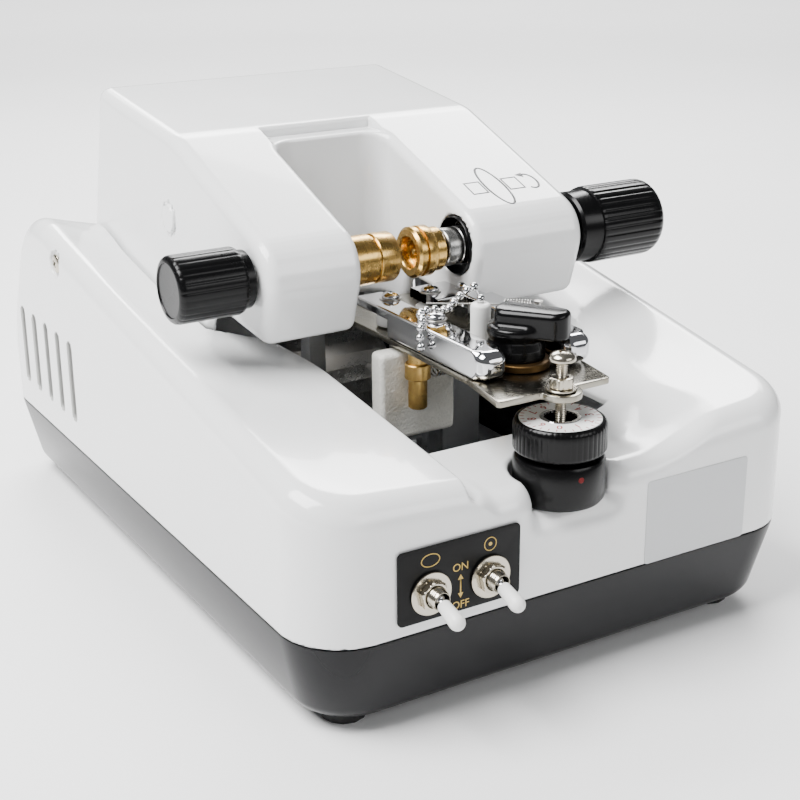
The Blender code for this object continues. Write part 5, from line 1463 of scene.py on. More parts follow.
@dataclass
class Spindles:
    """Both chuck spindles: knobs outside the head, brass chucks in the lens's space."""

    axis: tuple = AXIS_POINT
    chuck_face: float = -0.0092
    cup_face: float = -0.0026
    chuck_radius: float = 0.00825
    chuck_back: float = -0.0262
    chamfer: float = 0.0012
    groove_share: float = 0.55
    left_in: float = -0.0615
    left_out: float = -0.0875
    left_radius: float = 0.0107
    left_flutes: int = 26
    spindle_radius: float = 0.0043
    cup_length: float = 0.0112
    cup_radius: float = 0.0085
    cup_ring: float = 0.0078
    cup_step: float = 0.001
    pocket: float = 0.0052
    pocket_depth: float = 0.0035
    clamp_radius: float = 0.0064
    clamp_start: float = 0.0097
    clamp_end: float = 0.078
    bush_x: tuple = (0.0154, 0.0212, 0.027)
    bush_radius: float = 0.0099
    right_in: float = 0.061
    right_out: float = 0.097
    right_radius: float = 0.0135
    right_collar: float = 0.0085
    right_flutes: int = 30
    sleeve: tuple = (0.0492, 0.064)
    sleeve_radius: float = 0.0092
    gap: float = 0.0003

    def turned(self, name: str, profile: list, steps: int = 96, flutes: int = 0) -> Thing:
        """Return a piece turned about the spindles' axis; heights are places along X."""
        return lathe(name, profile, steps, self.axis, Axis.X, flutes)

    def chuck(self) -> None:
        """Left chuck with its groove, chamfers and recessed face."""
        face, back, radius = self.chuck_face, self.chuck_back + self.gap, self.chuck_radius
        groove = back + (face - back) * self.groove_share
        slim, pad, start = radius - 0.0006, radius - self.chamfer - 0.0012, groove - self.chamfer
        profile = [
            (0, back), (radius - 0.0005, back), (radius, back + 0.0005), (radius, start - 0.0002),
            (radius - 0.0002, start), (slim, start), (slim, groove), (radius - 0.0002, groove),
            (radius, groove + 0.0002), (radius, face - self.chamfer),
            (radius - 0.0004, face - 0.0005), (radius - self.chamfer, face), (pad, face),
            (pad - 0.0003, face - 0.0004), (0.0016, face - 0.0004), (0.0012, face - 0.001),
            (0, face - 0.0014)]
        fit(self.turned("chuck_left", profile), "left_spindle", "brass", "left_chuck",
            finish=CHUCK_BRASS)

    def left_knob(self) -> None:
        """Fluted black knob on the driven spindle."""
        low, high, radius = self.left_in, self.left_out, self.left_radius
        turns = [(0, low), (self.spindle_radius, low), (radius * 0.8, low),
                 (radius * 0.86, low - 0.0005), (radius * 0.88, low - 0.003),
                 (radius * 0.97, low - 0.0036, 0.00006), (radius, low - 0.0044, 0.00012)]
        turns += [(radius, low - 0.005 + (high - low + 0.007) * share, 0.00013)
                  for share in np.linspace(0, 1, 8)]
        turns += [(radius * 0.985, high + 0.0011, 0.00012), (radius * 0.94, high + 0.0005, 0.00006),
                  (radius * 0.86, high + 0.0001), (radius * 0.8, high),
                  (radius * 0.78, high + 0.0004), (radius * 0.3, high + 0.0005), (0, high + 0.0005)]
        thing = self.turned("knob_left", turns, self.left_flutes * 14, self.left_flutes)
        fit(smooth(thing, 0.6), "left_spindle", "black", "left_knob", finish=BLACK)
        repaint(STEEL, "left_spindle_shaft")
        repaint(PLAIN_BRASS, "lens_motor_pulley")

    def right_knob(self) -> None:
        """Clamp knob: round collar, fluted grip and a chamfered end, on its sleeve."""
        low, high, radius = self.right_in, self.right_out, self.right_radius
        start, bore, end = low + self.right_collar, self.clamp_radius + self.gap, 0.015
        turns = [(bore, self.sleeve[0]), (self.sleeve_radius, self.sleeve[0]),
                 (self.sleeve_radius, low), (radius * 0.86, low), (radius * 0.92, low + 0.0008),
                 (radius * 0.92, start - 0.0008), (radius * 0.93, start - 0.0002),
                 (radius * 0.985, start, 0.0001), (radius, start + 0.0008, 0.0002)]
        turns += [(radius, start + 0.0012 + (high - start - 0.005) * share, 0.00022)
                  for share in np.linspace(0, 1, 9)]
        turns += [
            (radius * 0.99, high - 0.003, 0.0002), (radius * 0.955, high - 0.0018, 0.0001),
            (radius * 0.89, high - 0.0007, 0.00005), (radius * 0.8, high - 0.0001),
            (radius * 0.74, high), (radius * 0.715, high - 0.0005), (radius * 0.3, high - 0.0006),
            (0, high - 0.0006), (0, self.clamp_end + end), (bore, self.clamp_end + end)]
        thing = self.turned("knob_right", turns, self.right_flutes * 14, self.right_flutes)
        fit(smooth(thing, 0.6), "clamp_knob", "black", "clamp_knob", finish=BLACK)

    def clamp(self) -> None:
        """Sliding steel spindle with two rings, and its black bush."""
        radius, start, end = self.clamp_radius, self.clamp_start, self.clamp_end
        profile = [(0, start), (radius - 0.0008, start), (radius - 0.0003, start + 0.0002),
                   (radius, start + 0.0007)]
        for place in (0.0152, 0.018):
            profile += [(radius, place), (radius - 0.00025, place + 0.0002),
                        (radius - 0.00025, place + 0.0005), (radius, place + 0.0007)]
        profile += [(radius, end - 0.0006), (radius - 0.0006, end), (0, end)]
        fit(self.turned("clamp_rod", profile), "clamp_spindle", "steel", "clamp_spindle",
            finish=SPINDLE_STEEL)
        low, seat, high = self.bush_x
        outer, inner, wide = self.bush_radius, radius + self.gap, self.cup_radius + 0.0006
        ring = [(inner, seat + 0.0006), (inner + 0.0004, seat), (wide - 0.0004, seat),
                (wide, seat - 0.0004), (wide, low + 0.0006), (wide + 0.0003, low),
                (outer - 0.0003, low), (outer, low + 0.0004), (outer, high), (inner, high)]
        fit(self.turned("spindle_bush", ring), "head", "black", "clamp_bush", finish=BLACK)

    def cup(self) -> None:
        """Brass cup on the sliding spindle's end, with its ring, groove and pocket."""
        face, bore, radius = self.cup_face, self.pocket, self.cup_radius
        back, floor = face + self.cup_length, face + self.pocket_depth
        groove = face + self.cup_length * 0.65 / 3
        wide = face + self.cup_length * 0.65
        cup = [
            (0, floor - 0.0016), (0.0009, floor - 0.0015), (0.0012, floor - 0.001), (0.0012, floor),
            (bore - 0.0003, floor), (bore, floor - 0.0003), (bore, face + 0.0005),
            (bore + 0.0004, face), (radius - 0.0009, face), (radius, face + 0.0008),
            (radius, groove - 0.0001), (self.cup_ring, groove + 0.0001),
            (self.cup_ring, groove + self.cup_step), (radius, groove + self.cup_step + 0.0002),
            (radius, wide - 0.0006), (radius - 0.0005, wide),
            (self.cup_ring - 0.0004, wide + 0.0002), (self.cup_ring - 0.0004, back - 0.0006),
            (self.cup_ring - 0.001, back), (0.0034, back), (0.0034, back + 0.0009),
            (0, back + 0.0009)]
        fit(self.turned("cup_right", cup), "cup", "brass", "right_cup", finish=CHUCK_BRASS)

    def build(self) -> None:
        """Make both sides."""
        for step in (self.chuck, self.left_knob, self.right_knob, self.clamp, self.cup):
            step()


@dataclass
class Wheel:
    """Grooving wheel with its shaft, block, motor and the sponge that wets it."""

    x: float = -0.0035
    axis: tuple = (-0.04, 0.08)
    radius: float = 0.011
    half: float = 0.0007
    hub_radius: float = 0.0045
    hub: float = 0.0022
    sponge_low: tuple = (-0.024, -0.0585, 0.0565)
    sponge_high: tuple = (0.0042, -0.0514, 0.0865)

    def build(self) -> None:
        """Make the wheel and the sponge, and finish the drive behind them."""
        half, hub = self.half, self.half + self.hub
        radius, hub_radius = self.radius, self.hub_radius
        profile = [(0, hub), (0.0012, hub), (hub_radius - 0.0004, hub), (hub_radius, hub - 0.0004),
                   (hub_radius, half + 0.0003), (hub_radius + 0.0003, half),
                   (radius - 0.0022, half), (radius - 0.002, half - 0.0001),
                   (radius - half, half - 0.0001), (radius - 0.0002, 0.0002), (radius, 0)]
        profile += [(reach, -height) for reach, height in profile[-2::-1]]
        wheel = lathe("wheel_disc", profile, 96, (self.x, *self.axis), Axis.X)
        paint(wheel, STEEL, Gritty("wheel_grit", (0.34, 0.32, 0.29), 0.5, 0.6, 9000.0))
        centre = Vector((self.x, *self.axis))
        for face in wheel.data.polygons:
            away = Vector(face.center) - centre
            if hypot(away.y, away.z) > radius - 0.0021:
                face.material_index = 1
        fit(wheel, "wheel_spindle", "steel", "groove_wheel")
        repaint(STEEL, "wheel_shaft", "wheel_motor", "table_pin", "hinge_pin")
        repaint(ZINC, "wheel_bearing_block", "chassis_frame", "sponge_holder")
        repaint(RUBBER, "wheel_belt")
        repaint(PLAIN_BRASS, "wheel_motor_pulley")
        self.sponge()

    def sponge(self) -> None:
        """Cream sponge slab with soft uneven edges, standing on its shelf."""
        low, high = Vector(self.sponge_low), Vector(self.sponge_high)
        half, middle = (high - low) / 2, (high + low) / 2

        def field(x: Array, y: Array, z: Array) -> Array:
            """Return the distance from the pressed slab.

            Args:
                x, y, z: places.

            Returns:
                The distances.
            """
            wave = 0.00012 * np.sin(x * 500 + z * 200) * np.sin(z * 400 + 1)
            across = round_common(
                np.abs(x - middle.x) - half.x, np.abs(y - middle.y + wave) - half.y, 0.0016)
            form = round_common(across, np.abs(z - middle.z) - half.z, 0.0016)
            away = np.hypot(y - self.axis[0], z - self.axis[1]) - self.radius - 0.0002
            groove = np.maximum(away, np.abs(x - self.x) - self.half - 0.0004)
            return round_cut(form, groove, 0.0006)

        grid = [np.arange(a - 0.001, b + 0.0012, 0.0006) for a, b in zip(low, high)]
        thing = skin("sponge_slab", field, *grid)
        fit(thing, "base", "sponge", "sponge", finish=FOAM)


@dataclass
class Dial:
    """Depth dial: black base in the casing's well, ribbed knob, printed white face."""

    place: tuple = (-0.001, -0.123)
    base_z: tuple = (0.0573, 0.071)
    base_radius: float = 0.0138
    stem_radius: float = 0.0059
    stem: float = 0.012
    knob_z: tuple = (0.0722, 0.0821)
    radius: float = 0.014
    bore: float = 0.005
    face_inset: float = 0.0015
    ribs: int = 48
    cam_radius: float = 0.0045
    marks: int = 30

    def turned(self, name: str, profile: list, steps: int = 96, flutes: int = 0) -> Thing:
        """Return a piece turned about the dial's axis."""
        return lathe(name, profile, steps, (*self.place, 0), flutes=flutes)

    def base(self) -> None:
        """Fixed black base with a waist under the knob and a red pointer."""
        (low, high), radius = self.base_z, self.base_radius
        profile = [(self.cam_radius, high), (radius - 0.0018, high),
                   (radius - 0.0006, high - 0.0004), (radius, high - 0.0014),
                   (radius, low + 0.0012), (radius - 0.0008, low), (self.stem_radius, low),
                   (self.stem_radius, low - self.stem), (self.cam_radius, low - self.stem)]
        fit(self.turned("base_of_dial", profile), "base", "black", "dial_base", finish=BLACK)
        dot = lathe("pointer_dot", [(0, 0.00012), (0.0008, 0.0001), (0.0009, 0), (0, 0)], 24)
        outward = Matrix.Rotation(radians(-99), 4, "Z") @ at(radius, 0, 0) @ Axis.X.turn()
        move(dot, at(*self.place, (low + high) / 2 + 0.0031) @ outward)
        fit(dot, "base", "label", finish=DOT_RED)

    def knob(self) -> None:
        """Ribbed black knob with a rim round its face."""
        (low, high), radius, seat = self.knob_z, self.radius, self.radius - self.face_inset
        profile = [(self.bore, low), (radius * 0.93, low), (radius * 0.97, low + 0.0004, 0.00005),
                   (radius, low + 0.0012, 0.00012)]
        profile += [(radius, low + 0.0016 + (high - low - 0.0034) * share, 0.00011)
                    for share in np.linspace(0, 1, 5)]
        profile += [
            (radius - 0.0002, high - 0.0012, 0.00012), (radius - 0.0006, high - 0.0004, 0.00005),
            (radius - 0.0011, high - 0.0001), (radius - 0.0014, high), (seat, high - 0.0002),
            (seat, high - 0.0007), (self.bore, high - 0.0007)]
        thing = self.turned("dial_grip", profile, self.ribs * 10, self.ribs)
        fit(smooth(thing, 0.6), "depth_dial", "black", "depth_dial_knob", finish=BLACK)

    def face(self) -> None:
        """White disc with red marks and numbers round a metal ring."""
        high, bore, lip = self.knob_z[1], self.bore, self.bore + 0.0012
        seat = self.radius - self.face_inset - 0.0002
        disc = self.turned("disc", [(bore, high - 0.0004), (seat, high - 0.0004),
                                    (seat, high - 0.0001), (seat - 0.0001, high), (bore, high)])
        ring = self.turned(
            "ring", [(bore, high - 0.0006), (bore, high + 0.00025), (bore + 0.001, high + 0.00025),
                     (lip, high + 0.0001), (lip, high - 0.0006)], 72)
        parts = [paint(disc, NYLON), paint(ring, CHROME)]
        marks = ring_of_marks(
            "marks", self.marks, seat - 0.0009, (0.0013, 0.00026, 0.00006), RED_PRINT)
        parts.append(move(marks, at(*self.place, high + 0.00001)))
        for number in range(10):
            turn = Matrix.Rotation(2 * pi * number / 10 - 0.67, 4, "Z") @ at(0, 0.0034 - seat, 0)
            text = move(printed(str(number), 0.0038), at(*self.place, high + 0.00002) @ turn)
            parts.append(paint(text, RED_PRINT))
        fit(smooth(merged("dial_disc", parts), 0.6), "depth_dial", "nylon", "depth_dial_face")
        repaint(STEEL, "depth_cam")

    def build(self) -> None:
        """Make the three pieces."""
        for step in (self.base, self.knob, self.face):
            step()


def printed(words: str, size: float) -> Thing:
    """Return thin flat lettering, centred on zero, as a mesh.

    Args:
        words: what it says.
        size: its size.

    Returns:
        The lettering.
    """
    curve = bpy.data.curves.new("print", "FONT")
    curve.body, curve.size = words, size
    curve.align_x, curve.align_y = "CENTER", "CENTER"
    curve.extrude, curve.resolution_u = 0.00002, 4
    return freeze(link("print", curve))


# Geometry Nodes: what repeats


class Tree:
    """A Geometry Nodes tree whose inputs are named with their socket types."""

    def __init__(self, name: str, **inputs: str) -> None:
        """Open the tree and its inputs, with a material as the last one.

        Args:
            name: the tree's name.
            inputs: the socket type of each input.
        """
        self.tree = bpy.data.node_groups.new(name, "GeometryNodeTree")
        face = self.tree.interface
        face.new_socket("Geometry", in_out="INPUT", socket_type="NodeSocketGeometry")
        self.keys = {label: face.new_socket(label, in_out="INPUT",
                                            socket_type="NodeSocket" + kind).identifier
                     for label, kind in (inputs | {"Finish": "Material"}).items()}
        face.new_socket("Geometry", in_out="OUTPUT", socket_type="NodeSocketGeometry")
        self.feed = self.tree.nodes.new("NodeGroupInput").outputs
        self.end = self.tree.nodes.new("NodeGroupOutput")

    def add(self, kind: str, settings: dict | None = None, **inputs: object) -> Socket:
        """Add a node; underscores in an input's name stand for spaces.

        Args:
            kind: the node's type after GeometryNode, or its whole type.
            settings: its properties.
            inputs: a number or a socket for each input.

        Returns:
            The node's first output.
        """
        node = self.tree.nodes.new(kind if "Node" in kind else "GeometryNode" + kind)
        for key, value in (settings or {}).items():
            setattr(node, key, value)
        for key, value in inputs.items():
            socket = node.inputs[key.replace("_", " ")]
            if isinstance(value, Socket):
                self.tree.links.new(value, socket)
            else:
                socket.default_value = value
        return node.outputs[0]

    def grow(self, geometry: Socket, thing: Thing, **values: object) -> Thing:
        """End the tree with real geometry and its material, and run it on an object.

        Args:
            geometry: the socket that holds the result.
            thing: the object, which is removed.
            values: a value for each input.

        Returns:
            The result as a plain mesh.
        """
        real = self.add("RealizeInstances", Geometry=geometry)
        dressed = self.add("SetMaterial", Geometry=real, Material=self.feed["Finish"])
        self.tree.links.new(dressed, self.end.inputs[0])
        modifier = thing.modifiers.new("grow", "NODES")
        modifier.node_group = self.tree
        for label, value in values.items():
            modifier[self.keys[label]] = value
        return freeze(thing)


def ring_of_marks(name: str, count: int, radius: float, size: Point, finish: Finish) -> Thing:
    """Return thin marks that stand out from a centre like a clock's.

    Args:
        name: the object's name.
        count: the number of marks.
        radius: the distance of their middles from the centre.
        size: each mark's length, width and height.
        finish: their finish.

    Returns:
        The marks, round zero.
    """
    tree = Tree("ring_of_marks", Count="Int", Radius="Float", Size="Vector")
    circle = tree.add("MeshCircle", Vertices=tree.feed["Count"], Radius=tree.feed["Radius"])
    mark = tree.add("MeshCube", Size=tree.feed["Size"])
    turn = tree.add(
        "FunctionNodeAlignRotationToVector", {"axis": "X"}, Vector=tree.add("InputPosition"))
    marks = tree.add("InstanceOnPoints", Points=circle, Instance=mark, Rotation=turn)
    return tree.grow(marks, from_parts(name, [(0, 0, 0)]), Count=count, Radius=radius, Size=size,
                     Finish=material(finish))


def bead_string(name: str, points: Sequence[Point], radius: float, finish: Finish) -> Thing:
    """Return round beads on short links along a path.

    Args:
        name: the object's name.
        points: the path.
        radius: a bead's radius.
        finish: their finish.

    Returns:
        The string.
    """
    tree = Tree("bead_string", Pitch="Float", Radius="Float", Link="Float")
    path = tree.add("MeshToCurve", Mesh=tree.feed["Geometry"])
    even = tree.add("ResampleCurve", {"mode": "LENGTH"}, Curve=path, Length=tree.feed["Pitch"])
    bead = tree.add("MeshIcoSphere", Radius=tree.feed["Radius"], Subdivisions=2)
    beads = tree.add(
        "InstanceOnPoints", Points=even, Instance=tree.add("SetShadeSmooth", Geometry=bead))
    ring = tree.add("CurvePrimitiveCircle", Resolution=8, Radius=tree.feed["Link"])
    line = tree.add("CurveToMesh", Curve=even, Profile_Curve=ring)
    both = tree.add("JoinGeometry")
    for part in (beads, line):
        tree.tree.links.new(part, both.node.inputs[0])
    path = from_parts(name, points, (), [(i, i + 1) for i in range(len(points) - 1)])
    return tree.grow(
        both, path, Pitch=radius * 2.1, Radius=radius, Link=radius * 0.3, Finish=material(finish))


def copies(name: str, pattern: Thing, places: Sequence[Point], seed: int,
           spin: float = pi) -> Thing:
    """Return copies of a pattern at places, each turned by its own random angle.

    Args:
        name: the object's name.
        pattern: the piece to copy, which is removed.
        places: where the copies stand.
        seed: the seed of their turns.
        spin: the largest turn.

    Returns:
        The copies as one object.
    """
    tree = Tree("copies_at_places", Pattern="Object", Seed="Int", Spin="Float")
    source = tree.add("ObjectInfo", Object=tree.feed["Pattern"])
    turn = tree.add("FunctionNodeRandomValue", {"data_type": "FLOAT"}, Seed=tree.feed["Seed"])
    tree.tree.links.new(tree.feed["Spin"], turn.node.inputs[3])
    axis = tree.add("ShaderNodeCombineXYZ", Z=turn.node.outputs[1])
    made = tree.add("InstanceOnPoints", Points=tree.feed["Geometry"],
                    Instance=source.node.outputs["Geometry"], Rotation=axis)
    result = tree.grow(made, from_parts(name, places), Pattern=pattern, Seed=seed, Spin=spin,
                       Finish=pattern.data.materials[0])
    bpy.data.objects.remove(pattern, do_unlink=True)
    return smooth(result, 0.6)


@dataclass
class Table:
    """Steel table that carries the guide arms, the wing knob, the peg and the screw."""

    low: float = 0.0884
    thick: float = 0.002
    front: float = -0.122
    back: float = -0.012
    left_front: float = -0.0225
    right_front: float = 0.0182
    left: float = -0.0186
    right: float = 0.0215
    shoulder: float = -0.1
    corner: float = 0.0015
    slot_x: tuple = (-0.0085, 0.003)
    slot_front: float = -0.057
    tab: tuple = (-0.001, -0.123)
    tab_radius: float = 0.0062
    hinge: tuple = (-0.016, 0.085)
    ears: tuple = ((-0.018, -0.012), (0.012, 0.018))
    ear_radius: float = 0.003
    pin_radius: float = 0.0023
    pivots: tuple = ((-0.0137, -0.064), (0.0172, -0.064))
    pivot_radius: float = 0.0034
    wing: tuple = (0.00175, -0.096)
    stud_radius: float = 0.0028
    peg: tuple = (0.0005, -0.0785)
    peg_radius: float = 0.0032
    peg_stub: float = 0.0018
    peg_top: float = 0.1055
    screw_radius: float = 0.0017
    head_z: tuple = (0.0995, 0.1025)
    head_radius: float = 0.004
    cam_top: float = 0.0758
    gap: float = 0.0003

    def plate(self) -> None:
        """Plate with its tab, slot, holes and two ears."""
        rise = degrees(asin((self.front - self.tab[1]) / self.tab_radius))
        tab = arc(self.tab, self.tab_radius, 180 - rise, 360 + rise, 20)
        (slot, slot_end), corner, back = self.slot_x, self.corner, self.back
        corners = [((self.left_front, self.front), corner), (tab[0], 0.0008)]
        corners += [(place, 0) for place in tab[1:-1]]
        corners += [
            (tab[-1], 0.0008), ((self.right_front, self.front + 0.0003), corner),
            ((self.right, self.shoulder), corner * 2), ((self.right, back), corner),
            ((slot_end, back), 0.0004), ((slot_end, self.slot_front), 0.001),
            ((slot, self.slot_front), 0.001), ((slot, back), 0.0004), ((self.left, back), corner),
            ((self.left, self.shoulder), corner * 2)]
        holes = [hole(self.tab, self.screw_radius + self.gap),
                 *[hole(place, self.pivot_radius) for place in self.pivots],
                 hole(self.wing, self.stud_radius), hole(self.peg, self.peg_stub + self.gap)]
        parts = [slab("table_top", rounded(corners, 5), self.low, self.low + self.thick,
                      edge=0.00022, holes=holes)]
        (y, _), half, low = self.hinge, self.ear_radius, self.low + 0.0002
        outline = [(y + half, low), (y - half, low), *arc(self.hinge, half, 180, 360, 16)]
        for start, end in self.ears:
            parts.append(slab("ear", outline, start, end, Axis.X, 0.0002,
                              [hole(self.hinge, self.pin_radius)]))
        fit(merged("table_top", parts), "table", "plate", "table_plate", finish=TABLE)

    def peg_piece(self) -> None:
        """White nylon peg with a rounded top and a shallow dimple."""
        low, top, radius = self.low + self.thick + self.gap, self.peg_top, self.peg_radius
        profile = [(0, self.low), (self.peg_stub, self.low), (self.peg_stub, low),
                   (radius - 0.0003, low), (radius, low + 0.0003), (radius, top - 0.0013)]
        profile += [(radius - 0.0012 + 0.0012 * cos(a), top - 0.0012 + 0.0012 * sin(a))
                    for a in np.linspace(0.2, 1.45, 6)]
        profile += [(0.0012, top), (0.0009, top - 0.0004), (0, top - 0.0005)]
        fit(lathe("peg_white", profile, 48, (*self.peg, 0)), "peg", "nylon", "nylon_peg",
            finish=NYLON)

    def screw(self) -> None:
        """Adjusting screw with its thread, hexagon nut and washer, and its spring anchor."""
        (x, y), (foot, head) = self.tab, self.head_z
        crown = move(screw_head("screw_top", self.head_radius, head - foot, 0.35, 0.75),
                     at(x, y, foot))
        thread = threaded("thread", self.screw_radius, 0.0007, self.cam_top + self.gap,
                          foot + 0.0002 - 0.0002, self.tab)
        thing = merged("depth_screw", [crown, thread])
        fit(smooth(thing, 0.6), "table", "chrome", "adjusting_screw", finish=NICKEL)
        floor = self.low + self.thick + self.gap
        washer = lathe(
            "washer", [(0.002, floor), (0.002, floor + 0.0006), (0.0045, floor + 0.0006),
                       (0.0046, floor + 0.0005), (0.0046, floor + 0.0001), (0.0045, floor)], 48,
            (x, y, 0))
        nut = hexagon("nut", 0.0066, 0.002, floor + 0.0007, floor + 0.0039, 0.3)
        thing = merged("depth_nut", [washer, move(nut, at(x, y, 0))])
        fit(smooth(thing, 0.5), "table", "chrome", "adjusting_nut", finish=NICKEL)
        repaint(PLAIN_BRASS, "spring_anchor")

    def build(self) -> None:
        """Make the table and what stands on it."""
        for step in (self.plate, self.peg_piece, self.screw):
            step()


def threaded(name: str, radius: float, pitch: float, low: float, high: float, place: Point = (0, 0),
             steps: int = 20) -> Thing:
    """Return an upright screw thread.

    Args:
        name: the object's name.
        radius: its outer radius.
        pitch: the rise of one turn.
        low: its lower end.
        high: its upper end.
        place: its axis.
        steps: the sides of a turn.

    Returns:
        The thread.
    """
    loops = []
    count = int((high - low) / pitch * 4)
    for row in range(count + 1):
        height = low + (high - low) * row / count
        loop = []
        for step in range(steps):
            angle = 2 * pi * step / steps
            phase = ((height - low) / pitch - step / steps) % 1.0
            depth = 1 if row in (0, count) else 1 - abs(2 * phase - 1)
            reach = radius - pitch * 0.35 * depth
            loop.append((place[0] + reach * cos(angle), place[1] + reach * sin(angle), height))
        loops.append(loop)
    return loft(name, loops)


def hexagon(name: str, width: float, bore: float, low: float, high: float, turn: float) -> Thing:
    """Return a hexagon nut with chamfered corners, upright round zero.

    Args:
        name: the object's name.
        width: the width across its flats.
        bore: the radius of its hole.
        low: its lower face.
        high: its upper face.
        turn: the angle that it is turned by.

    Returns:
        The nut.
    """
    flat = width / 2
    radius = flat / cos(pi / 6)
    drop = (radius - flat) * 0.5

    def loop(reach: float, height: float, flats: bool = True) -> list:
        """Return a circle's outline, cut by the flats where it has them.

        Args:
            reach: the circle's radius.
            height: its height.
            flats: whether it is cut by the flats.

        Returns:
            The outline's points.
        """
        places = []
        for step in range(48):
            angle = 2 * pi * step / 48
            side = flat / cos((angle + pi / 6) % (pi / 3) - pi / 6)
            away = min(reach, side) if flats else reach
            places.append((away * cos(angle + turn), away * sin(angle + turn), height))
        return places

    loops = [
        loop(bore, low, False), loop(flat * 0.96, low, False), loop(flat * 1.02, low + drop * 0.25),
        loop(radius, low + drop), loop(radius, high - drop), loop(flat * 1.02, high - drop * 0.25),
        loop(flat * 0.96, high, False), loop(bore + 0.0002, high, False),
        loop(bore, high - 0.0002, False)]
    return smooth(loft(name, loops, around=True), 0.35)


